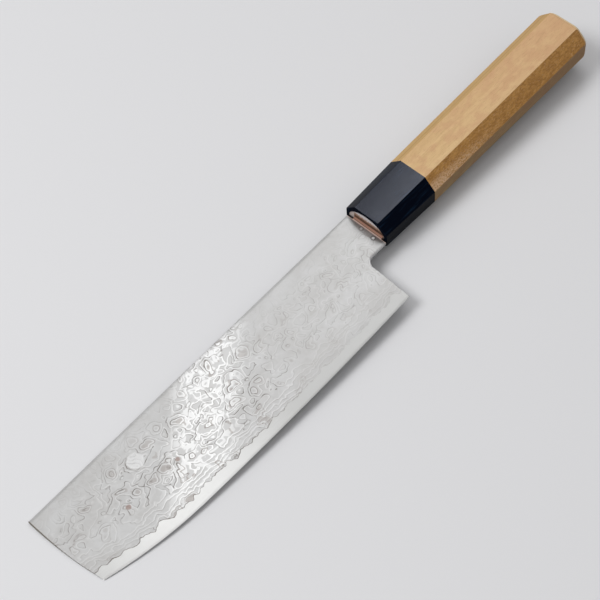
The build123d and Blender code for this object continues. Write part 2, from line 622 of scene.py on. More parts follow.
    def lay(self, paint: Painter) -> bpy.types.Material:
        """Lays out the layers' dark and bright lines over the plates with painted relief shading and a
        painted highlight band, then the marks, the painted reflection of the ferrule, the heat, and the rims,
        with painted light on the spine's rim.

        Args:
            paint: The painter of the new material.

        Returns:
            The material.
        """
        level = self._level(paint, 0.0, 0.0)
        slope_x = (self._level(paint, self.step, 0.0) - level) * (1 / self.step)
        slope_y = (self._level(paint, 0.0, self.step) - level) * (1 / self.step)
        slope = (slope_x * slope_x + slope_y * slope_y).root().most(self.least_slope)
        # Painted relief shading: dark lines are darker on the side of each layer turned from a fixed light
        # direction, and bright lines are brighter on the side turned to it.
        painted_relief_light = (slope_x * self.light[0] + slope_y * self.light[1]) / slope
        phase = level.fraction()
        active, painted_highlight = self._zones(paint)
        away = paint.lean(painted_relief_light.rise(self.painted_relief_shading, -self.painted_relief_shading), self.dark_least, 1.0)
        toward_painted_light = paint.lean(painted_relief_light.rise(-self.painted_relief_shading, self.painted_relief_shading), self.bright_least, 1.0)
        patchy = paint.lean(paint.faded(self.patches, self._shift), self.patch_least, 1.0)
        dark = ((-phase + 1.0) / slope).rise(*self.dark_line) * away * patchy * active
        bright = (phase / slope).rise(*self.bright_line) * toward_painted_light * active
        colour = self._plates(paint, painted_highlight)
        # Bright veins, bright lines and rusty eyes are painted strongest in the highlight band: painted
        # highlight.
        colour = paint.mix(self._flow(paint, phase, active, painted_highlight), colour, self.bright_vein_and_highlight)
        colour = paint.mix(bright * paint.lean(painted_highlight, *self.bright_share), colour, self.bright_vein_and_highlight)
        eyes = self._eyes(paint) * active * paint.lean(painted_highlight, *self.eye_share)
        colour = paint.mix(eyes, colour, self.rust)
        colour = paint.mix(dark * self.dark_share, colour, self.etched)
        colour = paint.mix(self._seam_line(paint), colour, self.etched)
        colour = self._heat(paint, self._marks(paint, colour))
        tip_rim = paint.facing(TO_TIP).rise(*self.tip_rim)
        # Painted light: the spine's rounded rim takes the bright colour and less metal, so it shows light
        # rather than a dark line.
        to_spine = paint.facing(TO_SPINE)
        painted_spine_light = to_spine.rise(*self.painted_spine_light) * to_spine.rise(*self.painted_spine_light_end)
        colour = paint.mix(tip_rim, paint.mix(painted_spine_light, colour, self.bright_vein_and_highlight), self.ground)
        metal = paint.lean(paint.x.rise(*self.tang_start), 1.0, self.tang_metal)
        metal = metal * paint.lean(tip_rim.most(painted_spine_light), 1.0, self.rim_metal)
        rough = paint.lean(dark, *self.roughness) - bright * self.bright_polish + tip_rim * self.rim_roughness
        paint.relief(bright * self.bright_height - dark, self.relief_depth)
        return paint.dress(base_color=colour, metallic=metal, roughness=rough)

    def _beside(self, paint: Painter, cloud: Cloud, x: float, y: float) -> Term:
        """Place on the face a little way off, scaled for a cloud."""
        across, up, _ = cloud.scale
        return paint.vector((paint.x + x) * across, (paint.y + y) * up, self._shift + cloud.shift)

    def _rings(self, paint: Painter, x: float, y: float) -> Term:
        """Hammered dimples and rolling noise, cut through by the etched surface.

        Args:
            paint: The painter.
            x: How far off it is read along the blade.
            y: How far off it is read across the blade.

        Returns:
            The relief.
        """
        rolling = paint.noise(self._beside(paint, self.rolling, x, y), self.rolling)
        dimples = -paint.cells(self._beside(paint, self.dimples, x, y)) + self.dimple_middle
        return rolling + dimples * self.dimple_depth

    def _level(self, paint: Painter, x: float, y: float) -> Term:
        """Layer that the etched surface has reached: rings on the face, waves along the core.

        Args:
            paint: The painter.
            x: How far off it is read along the blade.
            y: How far off it is read across the blade.

        Returns:
            The layer, whose whole numbers are the borders.
        """
        waves = (paint.noise(self._beside(paint, self.waves, x, y), self.waves) - 0.5) * self.seam_waves
        edge = paint.attribute("edge_distance") + y
        near_seam = edge.rise(*self.seam_zone)
        rings = (self._rings(paint, x, y) - 0.5) * self.ring_layers
        along_seam = waves + (edge - self.seam_middle) * self.seam_layers
        return (-near_seam + 1.0) * rings + near_seam * along_seam + self.first_layer

    def _zones(self, paint: Painter) -> tuple[Term, Term]:
        """How strongly the layers show over the face, and the painted highlight: a slanted band in which the
        steel is painted brighter.

        Args:
            paint: The painter.

        Returns:
            The two shares.
        """
        x, y, lean = self.painted_highlight_band
        painted_highlight_reach = (paint.x - x + (-paint.y + y) * lean).size()
        heel, spine, tip = self.faintest
        from_heel = paint.lean(paint.x.rise(*self.heel_fade), heel, 1.0)
        from_spine = paint.lean(paint.y.rise(*self.spine_fade), spine, 1.0)
        to_tip = paint.lean(paint.x.rise(*self.tip_fade), 1.0, tip)
        # Painted highlight: a slanted band across the blade in which the steel is painted brighter and its
        # layers show more strongly.
        painted_highlight = painted_highlight_reach.rise(*self.painted_highlight_fade)
        return (from_heel * from_spine * to_tip).most(painted_highlight * self.painted_highlight_contrast), painted_highlight

    def _flow(self, paint: Painter, phase: Term, active: Term, painted_highlight: Term) -> Term:
        """Share of the bright veins, which is lower near the core; the veins are painted mostly into the
        highlight band, as painted highlight.

        Args:
            paint: The painter.
            phase: How far the surface has gone through its layer.
            active: How strongly the layers show.
            painted_highlight: How much of the painted highlight lies there.

        Returns:
            The share.
        """
        veins = (paint.cloud(self.network, self._shift) - 0.5).size().rise(*self.vein_width)
        veins = veins.most(phase.rise(*self.layer_start) * phase.rise(*self.layer_end))
        near_core = paint.attribute("edge_distance").rise(*self.vein_zone)
        return veins * (painted_highlight * paint.lean(near_core, *self.vein_share) + active * self.plain_vein_share)

    def _eyes(self, paint: Painter) -> Term:
        """Rusty rims of the highest rings, and their filled middles."""
        peaks = self._rings(paint, 0.0, 0.0)
        return (peaks - self.eye_level).size().rise(*self.eye_width).most(peaks.rise(*self.eye_middle))

    def _plates(self, paint: Painter, painted_highlight: Term) -> Term:
        """Colour of the steel between the lines, in soft clouds, and painted brighter in the highlight band.

        Args:
            paint: The painter.
            painted_highlight: How much of the painted highlight lies there.

        Returns:
            The colour.
        """
        clouds = paint.faded(self.broad, self._shift) + paint.faded(self.small, self._shift)
        return paint.mix(painted_highlight * self.plate_painted_highlight, paint.mix(clouds, self.plain, self.plate), self.bright_vein_and_highlight)

    def _seam_line(self, paint: Painter) -> Term:
        """Share of the dark line along the core, which swells here and there and fades towards the heel.

        Args:
            paint: The painter.

        Returns:
            The share.
        """
        width = paint.lean(paint.faded(self.swell, self._shift), *self.seam_width)
        reach = paint.attribute("seam_distance") / width
        return reach.rise(*self.seam_edge) * paint.lean(paint.x.rise(*self.seam_fade), *self.seam_share)

    def _marks(self, paint: Painter, colour: Term) -> Term:
        """Adds the bright disc and the two stains near the tip, on the left face.

        Args:
            paint: The painter.
            colour: The steel's colour.

        Returns:
            The colour with the marks.
        """
        if self.side is not Side.LEFT:
            return colour
        x, y, radius = self.disc
        wobble = (paint.cloud(self.wobble) - 0.5) * self.disc_waver
        away = paint.reach(x, y) + wobble
        disc = away.rise(*(radius + edge for edge in self.disc_edge))
        rim = (away - (radius + self.disc_rim_gap)).size().rise(*self.disc_rim_width)
        rim = rim * paint.x.rise(*(x + side for side in self.disc_rim_side))
        colour = paint.mix(disc * self.disc_share, colour, self.disc_steel)
        colour = paint.mix(rim * self.disc_rim_share, colour, self.etched)
        for place in self.stains:
            stain = (paint.reach(*place) + wobble).rise(*self.stain_edge)
            colour = paint.mix(stain * self.stain_share, colour, self.stain)
        return colour

    def _spots(self, paint: Painter, colour: Term) -> Term:
        """Adds the two bright spots with dark rings at the neck, on the left face.

        Args:
            paint: The painter.
            colour: The neck's colour.

        Returns:
            The colour with the spots.
        """
        if self.side is not Side.LEFT:
            return colour
        for x, y, strength in self.spots:
            away = paint.reach(x, y) + (paint.cloud(self.spot_edge) - 0.5) * self.spot_waver
            ring = (away - self.spot_ring).size().rise(*self.spot_ring_width)
            colour = paint.mix(ring * (strength * self.spot_ring_share), colour, self.ring)
            colour = paint.mix(away.rise(*self.spot_size) * strength, colour, self.bright_vein_and_highlight)
        return colour

    def _heat(self, paint: Painter, colour: Term) -> Term:
        """Adds the painted reflection of the dark ferrule on the neck, darkest next to the ferrule, and the
        heat tint and the dark line of the tang.

        Args:
            paint: The painter.
            colour: The steel's colour.

        Returns:
            The colour with the painted reflection and the heat's traces.
        """
        # Painted reflection of the dark ferrule: a grey arc on the neck in front of it, darkest next to the
        # ferrule.
        start, middle, reach = self.ferrule_reflection_arc
        across = (paint.y - middle) * (1 / reach)
        bound = paint.x - start - across * across * self.ferrule_reflection_bulge
        reflection_near_tang = paint.x.rise(*self.reflection_by_tang) * self.reflection_by_tang_share
        painted_reflection = bound.rise(*self.ferrule_reflection_edge) * (paint.faded(self.ferrule_reflection_patches) + reflection_near_tang + self.ferrule_reflection_least)
        colour = self._spots(paint, paint.mix(painted_reflection, colour, self.soot))
        colour = paint.mix(paint.x.rise(*self.rosy_start), colour, self.rosy_steel)
        copper = paint.x.rise(self.tang_line, self.tang_line + self.copper_width)
        line = (paint.x - self.tang_line).size().rise(*self.tang_line_width)
        return paint.mix(line * self.tang_line_share, paint.mix(copper, colour, self.copper), self.burnt)


@dataclass(frozen=True)
class CoreSteel(Finish):
    """Bright satin steel of the core, with fine grinding lines along the edge."""

    label = "core_steel"
    bright: Colour = tone(222, 222, 221)
    dull: Colour = tone(186, 186, 185)
    brightest_place: float = -137.0
    brightness_fade: Fade = (66.0, 6.0)
    scratches: Cloud = Cloud((0.15, 9.0, 0.0), 0.0, 3.0, 0.6, fade=(0.3, 0.7), share=0.12)
    roughness: Fade = (0.28, 0.38)
    relief_depth: float = 0.004

    def lay(self, paint: Painter) -> bpy.types.Material:
        """Lays out the nodes.

        Args:
            paint: The painter of the new material.

        Returns:
            The material.
        """
        scratches = paint.cloud(self.scratches)
        bright = (paint.x - self.brightest_place).size().rise(*self.brightness_fade)
        colour = paint.mix(bright - paint.faded(self.scratches), self.dull, self.bright)
        rough = paint.lean(scratches, *self.roughness)
        paint.relief(scratches, self.relief_depth)
        return paint.dress(base_color=colour, metallic=1.0, roughness=rough)


@dataclass(frozen=True)
class Horn(Finish):
    """Black horn with faint blue-grey streaks along the grain, polished on top and dull elsewhere."""

    label = "black_horn"
    black: Colour = tone(8, 13, 25)
    streak: Colour = tone(28, 48, 70)
    sheen: Colour = tone(232, 238, 255)
    grain: Cloud = Cloud((0.07, 1.5, 1.5), 0.0, 4.0, 0.6, fade=(0.5, 0.72))
    patches: Cloud = Cloud((0.09, 0.2, 0.2), 5.0, fade=(0.35, 0.65))
    haze: Cloud = Cloud((0.16, 0.28, 0.28), 2.0, 2.0, 0.5, 0.6)
    top_face: Fade = (0.85, 0.97)
    front_face: Fade = (0.35, 0.8)
    front_roughness: float = 0.5
    roughness: Fade = (0.12, 0.28)
    gloss: Fade = (0.02, 0.5)
    ior: float = 1.54
    relief_depth: float = 0.003

    def lay(self, paint: Painter) -> bpy.types.Material:
        """Lays out the nodes.

        Args:
            paint: The painter of the new material.

        Returns:
            The material.
        """
        grain = paint.cloud(self.grain)
        streaks = grain.rise(*self.grain.fade) * paint.faded(self.patches)
        colour = paint.mix(streaks, self.black, self.streak)
        front = paint.facing(TO_TIP).rise(*self.front_face)
        rough = paint.lean(paint.cloud(self.haze), *self.roughness) + front * self.front_roughness
        gloss = paint.lean(paint.facing(OUTWARD).rise(*self.top_face), *self.gloss)
        paint.relief(grain, self.relief_depth)
        return paint.dress(
            base_color=colour,
            roughness=rough,
            ior=self.ior,
            specular_ior_level=gloss,
            specular_tint=self.sheen,
        )


@dataclass(frozen=True)
class Magnolia(Finish):
    """Bare magnolia wood: pale calm grain, and a browner face with dark flecks where the rays are cut."""

    label = "magnolia_wood"
    pale: Colour = tone(229, 195, 146)
    warm: Colour = tone(212, 174, 126)
    rosy: Colour = tone(212, 168, 128)
    pore: Colour = tone(166, 128, 84)
    honey: Colour = tone(206, 168, 104)
    # Pale colour of the painted highlights on the edge and the butt's rim.
    worn: Colour = tone(246, 220, 176)
    brown: Colour = tone(206, 154, 88)
    umber: Colour = tone(148, 98, 48)
    light: Colour = tone(228, 190, 152)
    bands: Cloud = Cloud((0.012, 0.2, 0.2), 0.0, 3.0, 0.5, 0.3, (0.35, 0.65), 0.8)
    mottle: Cloud = Cloud((0.16, 0.26, 0.26), 8.0, 2.5, 0.55, fade=(0.42, 0.62), share=0.6)
    bloom: Cloud = Cloud((0.2, 0.35, 0.35), 18.0, fade=(0.52, 0.7), share=0.35)
    grain: Cloud = Cloud((0.3, 3.2, 3.2), 3.0, 3.0, 0.6, fade=(0.5, 0.75), share=0.35)
    fibres: Cloud = Cloud((0.25, 5.0, 5.0), 3.0, 2.0, 0.6)
    flecks: Cloud = Cloud((0.6, 1.3, 1.3), 6.0, 3.5, 0.6, fade=(0.36, 0.7), share=0.6)
    coarse: Cloud = Cloud((0.22, 0.7, 0.7), 4.0, 3.0, 0.55, fade=(0.4, 0.65), share=0.35)
    fine: Cloud = Cloud((1.3, 2.4, 2.4), 12.0, 2.0, 0.6, fade=(0.58, 0.68), share=0.35)
    pore_scale: Triple = (0.6, 2.6, 2.6)
    brown_facing: Triple = (0.0, -0.69, 0.72)
    spine_facing: Triple = (0.0, 0.69, 0.72)
    highlight_edge_facing: Triple = (0.0, -0.372, 0.928)
    bevel_fade: Fade = (0.90, 0.975)
    highlight_edge_fade: Fade = (0.972, 0.985)
    highlight_edge_share: float = 0.45
    butt_rim_highlight: Fade = (0.3, 0.5)
    butt_rim_highlight_end: Fade = (0.9, 0.8)
    butt_rim_highlight_share: float = 0.9
    rosy_zone: Fade = (39.5, 129.5)
    rosy_share: float = 0.6
    honey_share: float = 0.6
    pore_size: Fade = (0.24, 0.1)
    pore_share: float = 0.35
    ferrule_end: float = 29.5
    vein_height: float = 8.6
    vein_slope: float = 0.012
    vein_width: Fade = (0.42, 0.12)
    vein_share: float = 0.4
    ring_height: float = 3.2
    ring_start: float = 1.5
    ring_stretch: float = 0.2
    rings_per_mm: float = 1.25
    ring_waver: float = 0.8
    ring_line: Fade = (0.8, 0.3)
    ring_fade: Fade = (9.0, 5.0)
    ring_share: float = 0.7
    speck_fade: Fade = (0.45, 0.56)
    speck_share: Fade = (0.12, 0.97)
    silver_fade: Fade = (48.0, 6.0)
    low_fade: Fade = (7.4, 4.6)
    fibre_height: float = 0.6
    fleck_height: float = 0.4
    relief_depth: float = 0.012
    roughness: float = 0.6
    gloss: float = 0.18

    def lay(self, paint: Painter) -> bpy.types.Material:
        """Lays the calm grain and the ray face together and paints highlights on the edge between the top and
        the brown bevel and round the butt's rim.

        Args:
            paint: The painter of the new material.

        Returns:
            The material.
        """
        ray_face = paint.facing(self.brown_facing).size().rise(*self.bevel_fade)
        flecks = paint.cloud(self.flecks)
        colour = paint.mix(ray_face, self._calm_face(paint), self._ray_face(paint, flecks))
        # Painted highlight: a pale line on the edge between the top and the brown bevel, and round the butt's
        # rim.
        worn = paint.facing(self.highlight_edge_facing).rise(*self.highlight_edge_fade) * self.highlight_edge_share
        to_butt = paint.facing(TO_BUTT)
        butt_rim_highlight = to_butt.rise(*self.butt_rim_highlight) * to_butt.rise(*self.butt_rim_highlight_end)
        colour = paint.mix(worn.most(butt_rim_highlight * self.butt_rim_highlight_share), colour, self.worn)
        fibres = paint.cloud(self.fibres) * self.fibre_height
        paint.relief(fibres + flecks * ray_face * self.fleck_height, self.relief_depth)
        return paint.dress(base_color=colour, roughness=self.roughness, specular_ior_level=self.gloss)

    def _calm_face(self, paint: Painter) -> Term:
        """Colour of the faces on which the grain lies flat.

        Args:
            paint: The painter.

        Returns:
            The colour, with one darker vein on the bevel towards the spine.
        """
        colour = paint.glaze(self.bands, self.pale, self.warm)
        to_butt = paint.x.rise(*self.rosy_zone)
        colour = paint.mix(to_butt * self.rosy_share, colour, self.rosy)
        for cloud, tint in ((self.mottle, self.rosy), (self.bloom, self.pale), (self.grain, self.pore)):
            colour = paint.glaze(cloud, colour, tint)
        pores = paint.cells(paint.scaled(self.pore_scale)).rise(*self.pore_size)
        colour = paint.mix(pores * self.pore_share, colour, self.pore)
        spine_side = paint.facing(self.spine_facing).rise(*self.bevel_fade)
        colour = paint.mix(spine_side * self.honey_share, colour, self.honey)
        vein_line = (paint.x - self.ferrule_end) * self.vein_slope
        vein = (paint.y - vein_line - self.vein_height).size().rise(*self.vein_width)
        return paint.mix(vein * spine_side * self.vein_share, colour, self.pore)

    def _ray_face(self, paint: Painter, flecks: Term) -> Term:
        """Colour of the bevel that cuts across the rays, lighter with growth rings near the ferrule.

        Args:
            paint: The painter.
            flecks: The flecks' noise.

        Returns:
            The colour.
        """
        shown = flecks.rise(*self.flecks.fade) * self.flecks.share
        colour = paint.glaze(self.coarse, paint.mix(shown, self.brown, self.umber), self.umber)
        colour = paint.glaze(self.fine, colour, self.light)
        along = paint.x - (self.ferrule_end + self.ring_start)
        across = paint.z - self.ring_height
        distance = (along * along * self.ring_stretch + across * across).root()
        rings = (distance * self.rings_per_mm + flecks * self.ring_waver).fraction().rise(*self.ring_line)
        low_half = paint.z.rise(*self.low_fade)
        specks = paint.lean(paint.cloud(self.fine).rise(*self.speck_fade), *self.speck_share)
        colour = paint.mix(along.rise(*self.silver_fade) * low_half * specks, colour, self.light)
        rings = rings * along.rise(*self.ring_fade) * low_half
        return paint.mix(rings * self.ring_share, colour, self.light)


@dataclass(frozen=True)
class TenonWood(Finish):
    """End grain of the tenon: pale and greyed outside, scorched brown round the burned slot, with painted
    shadow beside the slot's ends.
    """

    label = "tenon_wood"
    pale: Colour = tone(236, 230, 230)
    ring: Colour = tone(208, 198, 194)
    brown: Colour = tone(160, 112, 78)
    scorched: Colour = tone(84, 60, 44)
    copper: Colour = tone(164, 124, 106)
    black: Colour = tone(14, 11, 10)
    pores: Cloud = Cloud((0.4, 3.0, 3.0))
    smoke: Cloud = Cloud((0.3, 1.1, 1.1), 4.0, 3.0, 0.6)
    ring_slope: tuple[float, float] = (0.35, 0.9)
    slot_middle: float = -1.1
    slot_half: Fade = (7.5, 8.0)
    brown_height: Fade = (5.2, 3.6)
    scorched_height: Fade = (3.7, 2.7)
    copper_height: Fade = (1.7, 1.45)
    scorched_share: float = 0.92
    brown_share: Fade = (0.3, 0.9)
    # Height and half height of the painted shadow beside the slot's ends.
    gap_shadow_height: float = -0.8
    gap_shadow_half: Fade = (1.35, 1.05)
    ring_line: Fade = (0.2, 0.9)
    ring_waver: float = 0.8
    ring_share: float = 0.6
    smoke_height: float = 2.4
    relief_depth: float = 0.04
    roughness: float = 0.75

    def lay(self, paint: Painter) -> bpy.types.Material:
        """Lays the scorched zones over the end grain, out from the slot, and a near black painted shadow
        beside the slot's ends.

        Args:
            paint: The painter of the new material.

        Returns:
            The material.
        """
        pores = paint.cloud(self.pores)
        across, out = self.ring_slope
        rings = (paint.y * across + paint.z * out + pores * self.ring_waver).fraction().rise(*self.ring_line)
        colour = paint.mix(rings * self.ring_share, self.pale, self.ring)
        height = paint.z.size() + (paint.cloud(self.smoke) - 0.5) * self.smoke_height
        beside_slot = (paint.y - self.slot_middle).size().rise(*self.slot_half)
        by_slot = -beside_slot + 1.0
        near_slot = paint.lean(by_slot, *self.brown_share)
        # Painted shadow: near black beside the slot's ends, at the height of the blade behind its shoulder.
        gap_shadow = (paint.z - self.gap_shadow_height).size().rise(*self.gap_shadow_half)
        zones = (
            (height.rise(*self.brown_height) * near_slot, self.brown),
            (height.rise(*self.scorched_height) * by_slot * self.scorched_share, self.scorched),
            (paint.z.size().rise(*self.copper_height) * by_slot, self.copper),
            (beside_slot * gap_shadow, self.black),
        )
        for share, tint in zones:
            colour = paint.mix(share, colour, tint)
        paint.relief(pores, self.relief_depth)
        return paint.dress(base_color=colour, roughness=self.roughness)


@dataclass(frozen=True)
class Bedding(Finish):
    """Brown resin round the tang."""

    label = "bedding_resin"
    dark: Colour = tone(70, 48, 36)
    light: Colour = tone(104, 74, 54)
    lumps: Cloud = Cloud((1.5, 1.5, 1.5), 0.0, 3.0, fade=(0.4, 0.7))
    relief_depth: float = 0.08
    roughness: float = 0.45

    def lay(self, paint: Painter) -> bpy.types.Material:
        """Lays out the nodes.

        Args:
            paint: The painter of the new material.

        Returns:
            The material.
        """
        colour = paint.glaze(self.lumps, self.dark, self.light)
        paint.relief(paint.cloud(self.lumps), self.relief_depth)
        return paint.dress(base_color=colour, roughness=self.roughness)


# Meshes


def make_object(name: str, mesh: bpy.types.Mesh) -> bpy.types.Object:
    """Links a new object.

    Args:
        name: The object's name.
        mesh: The mesh that it shows.

    Returns:
        The object.
    """
    made = bpy.data.objects.new(name, mesh)
    bpy.context.scene.collection.objects.link(made)
    return made


def finish_mesh(mesh: bpy.types.Mesh, axes: KnifeAxes, crease: float) -> None:
    """Takes a mesh from knife millimetres to the part's frame and smooths it between its creases.

    Args:
        mesh: The mesh, on the knife's axes.
        axes: The knife's axes in the part's frame.
        crease: Edges that turn by more than this angle, in degrees, stay sharp.
    """
    mesh.transform(axes.matrix())
    mesh.shade_smooth()
    mesh.set_sharp_from_angle(angle=math.radians(crease))
    mesh.update()


def join_rings(work: bmesh.types.BMesh, first: list, second: list, slot: int = 0) -> None:
    """Adds a band of four-sided faces between two rings of as many points.

    Args:
        work: The mesh that gets the faces.
        first: Vertices of one ring, in order.
        second: Vertices of the other, in the same order.
        slot: Material slot of the faces.
    """
    for index, vertex in enumerate(first):
        after = (index + 1) % len(first)
        face = work.faces.new((vertex, first[after], second[after], second[index]))
        face.material_index = slot


# Blade


@dataclass(frozen=True)
class EdgeCurve:
    """Cutting edge: a long shallow arc from the heel, then a tighter one up to the tip."""

    heel: Vector
    join: Vector
    tip: Vector
    bow: float
    shallow_centre: Vector = field(init=False)
    shallow_radius: float = field(init=False)
    sweep_centre: Vector = field(init=False)
    sweep_radius: float = field(init=False)

    def __post_init__(self) -> None:
        """Works out the two arcs, which share a tangent where they join."""
        chord = self.join - self.heel
        radius = (chord.length_squared / 4 + self.bow**2) / (2 * self.bow)
        upward = Vector((-chord.y, chord.x)).normalized()
        if upward.y < 0:
            upward = -upward
        centre = (self.heel + self.join) / 2 + upward * (radius - self.bow)
        inward = (centre - self.join).normalized()
        rise = self.tip - self.join
        sweep = rise.length_squared / (2 * rise.dot(inward))
        values = {
            "shallow_centre": centre,
            "shallow_radius": radius,
            "sweep_centre": self.join + inward * sweep,
            "sweep_radius": sweep,
        }
        for name, value in values.items():
            object.__setattr__(self, name, value)

    def height_at(self, x: float, inset: float) -> float:
        """Height of the edge, or of a line beside it.

        Args:
            x: Place along the blade.
            inset: How far the line lies inside the edge.

        Returns:
            The height.
        """
        inward = (self.shallow_centre - self.join).normalized()
        if x > self.join.x + inward.x * inset:
            centre, radius = self.shallow_centre, self.shallow_radius
        else:
            centre, radius = self.sweep_centre, self.sweep_radius
        return centre.y - math.sqrt((radius - inset) ** 2 - (x - centre.x) ** 2)

    def distance(self, x: float, y: float) -> float:
        """Distance of a point on the face from the cutting edge.

        Args:
            x: The point's place along the blade.
            y: Its height.

        Returns:
            The distance.
        """
        point = Vector((x, y))
        inward = (self.shallow_centre - self.join).normalized()
        if (point - self.join).dot(Vector((inward.y, -inward.x))) > 0:
            return self.shallow_radius - (point - self.shallow_centre).length
        return self.sweep_radius - (point - self.sweep_centre).length


@dataclass(frozen=True)
class Slab:
    """Flat that passes through three points of a face, each with its height over the middle plane."""

    first: Vector
    second: Vector
    third: Vector

    def height(self, x: float, y: float) -> float:
        """Height over the middle plane.

        Args:
            x: Place along the blade.
            y: Place towards the spine.

        Returns:
            The height.
        """
        normal = (self.second - self.first).cross(self.third - self.first)
        run = normal.x * (x - self.first.x) + normal.y * (y - self.first.y)
        return self.first.z - run / normal.z


@dataclass
class FacePoint:
    """A point of a blade face, seen from the side, with what its pieces need to know there."""

    x: float
    y: float
    edge: float
    seam: float
    rim: float


Key = tuple[int, int]
Layout = dict[Key, FacePoint]
Sheet = dict[Key, tuple[FacePoint, float]]


@dataclass
class Blade:
    """Laminated blade and tang: a core between two claddings. Lengths are in millimetres."""

    shoulder_gap: float = 1.1
    blade_length: float = 180.6
    spine_height_neck: float = 9.65
    spine_height_tip: float = 10.35
    neck_width: float = 21.1
    heel_setback: float = 12.9
    heel_lean: float = 1.0
    heel_depth: float = 35.0
    choil_radius: float = 4.0
    belly_bow: float = 0.88
    sweep_start: float = 47.5
    sweep_start_depth: float = 34.8
    tip_edge_setback: float = 2.4
    tip_edge_depth: float = 27.8
    tip_face_bow: float = 1.0
    neck_thickness: float = 2.1
    tip_thickness: float = 1.7
    face_thickness_at_edge: float = 0.84
    core_thickness: float = 0.6
    core_strip_width: float = 4.9
    edge_bevel_width: float = 0.35
    edge_bevel_thickness: float = 0.14
    edge_land: float = 0.01
    tang_root_width: float = 15.4
    tang_root_drop: float = 1.1
    tang_length: float = 96.0
    tang_end_width: float = 7.0
    tang_end_thickness: float = 1.3
    tang_end_radius: float = 2.5
    rim_round: float = 0.22
    rim_thickness_share: float = 0.45
    rim_row_share: float = 0.3
    grind_blend: float = 0.06
    seam_step: float = 0.03
    seam_ramp: float = 0.12
    seam_shift: float = 20.0
    seam_waves: Sequence[Triple] = ((0.07, 0.0, 0.7), (0.24, 5.0, 1.8), (0.6, 9.0, 0.9))
    crease: float = 25.0
    blade_columns: int = 320
    neck_columns: int = 22
    tang_columns: int = 14
    strip_rows: int = 5
    lower_rows: int = 7
    upper_rows: int = 12
    settle_rounds: int = 4
    edge: EdgeCurve = field(init=False)

    def __post_init__(self) -> None:
        """Works out the places that follow from the sizes."""
        self.shoulder_x = -self.shoulder_gap
        self.tip_x = self.shoulder_x - self.blade_length
        self.tip_edge_x = self.tip_x + self.tip_edge_setback
        self.heel_x = self.shoulder_x - self.heel_setback
        self.neck_foot = self.spine_height_neck - self.neck_width
        heel = Vector((self.heel_x, -self.heel_depth))
        join = Vector((self.tip_edge_x + self.sweep_start, -self.sweep_start_depth))
        tip = Vector((self.tip_edge_x, -self.tip_edge_depth))
        self.edge = EdgeCurve(heel, join, tip, self.belly_bow)
        self.heel_slope = self.heel_lean / (self.neck_foot + self.heel_depth)
        self.choil_y = self.neck_foot - self.choil_radius
        normal = Vector((1, -self.heel_slope)).normalized()
        on_heel = self.heel_x + (self.choil_y + self.heel_depth) * self.heel_slope
        self.choil_centre = Vector((on_heel + self.choil_radius / normal.x, self.choil_y))
        self.waist = self.choil_centre - normal * self.choil_radius
        slope = (self.neck_thickness - self.face_thickness_at_edge) / 2
        slope /= self.spine_height_neck + self.heel_depth
        half = self.neck_thickness / 2
        top = Vector((self.shoulder_x, self.spine_height_neck, half))
        low = Vector((self.shoulder_x, self.neck_foot, half - slope * self.neck_width))
        far = Vector((self.tip_x, self.spine_height_tip, self.tip_thickness / 2))
        tail_x = self.shoulder_x + self.tang_length
        tail = Vector((tail_x, self.tang_end_width / 2, self.tang_end_thickness / 2))
        self.blade_flat = Slab(top, low, far)
        self.tang_flat = Slab(top, low, tail)

    def spine(self, x: float) -> float:
        """Height of the spine at a place along the blade."""
        share = (self.shoulder_x - x) / self.blade_length
        return blend(self.spine_height_neck, self.spine_height_tip, share)

    def tip_face(self, y: float) -> float:
        """Place of the bowed tip face.

        Args:
            y: Height on the face.

        Returns:
            The place along the blade.
        """
        share = (y + self.tip_edge_depth) / (self.spine_height_tip + self.tip_edge_depth)
        bow = 4 * self.tip_face_bow * share * (1 - share)
        return blend(self.tip_edge_x, self.tip_x, share) - bow

    def heel_face(self, y: float) -> float:
        """Place of the heel face at a height, and over the choil the place where the choil starts."""
        height = min(y, self.waist.y)
        return self.heel_x + (height + self.heel_depth) * self.heel_slope

    def rim_distance(self, x: float, y: float) -> float:
        """Distance of a point on the face from the blade's outline, the cutting edge left out.

        Args:
            x: The point's place along the blade.
            y: Its height.

        Returns:
            The distance, never below 0.
        """
        if x > self.shoulder_x:
            return self.neck_width
        near = [self.spine(x) - y, x - self.tip_face(y)]
        if y <= self.waist.y:
            near.append(self.heel_face(y) - x)
        elif x < self.choil_centre.x:
            near.append((Vector((x, y)) - self.choil_centre).length - self.choil_radius)
        else:
            near.append(y - self.neck_foot)
        return max(0.0, min(near))

    def seam_inset(self, x: float, side: Side) -> float:
        """Width of the bare core strip, which wanders as forged layers do.

        Args:
            x: Place along the edge.
            side: The face.

        Returns:
            The width.
        """
        shift = self.seam_shift * side.value
        width = self.core_strip_width
        for pace, layer, height in self.seam_waves:
            width += height * noise.noise(Vector((x * pace, shift, layer)))
        return width

    def upper_places(self) -> list[tuple[float, float]]:
        """Rows from the waist up to the spine, with those that the tang carries on in the middle.

        Returns:
            For each row its share of the height, and a length that is added to it.
        """
        low = self.tang_root_drop + self.tang_root_width / 2
        high = -self.tang_root_drop + self.tang_root_width / 2
        low_share = (-low - self.neck_foot) / self.neck_width
        high_share = (high - self.neck_foot) / self.neck_width
        fine = self.rim_round
        finest = self.rim_row_share * fine
        rows = [(0.0, 0.0), (0.0, finest), (0.0, fine), (low_share / 2, 0.0)]
        self.first_tang_row = len(rows)
        steps = range(self.upper_rows + 1)
        rows += [(blend(low_share, high_share, step / self.upper_rows), 0.0) for step in steps]
        middle = (1 + high_share) / 2
        return rows + [(middle, 0.0), (1.0, -fine), (1.0, -finest), (1.0, 0.0)]

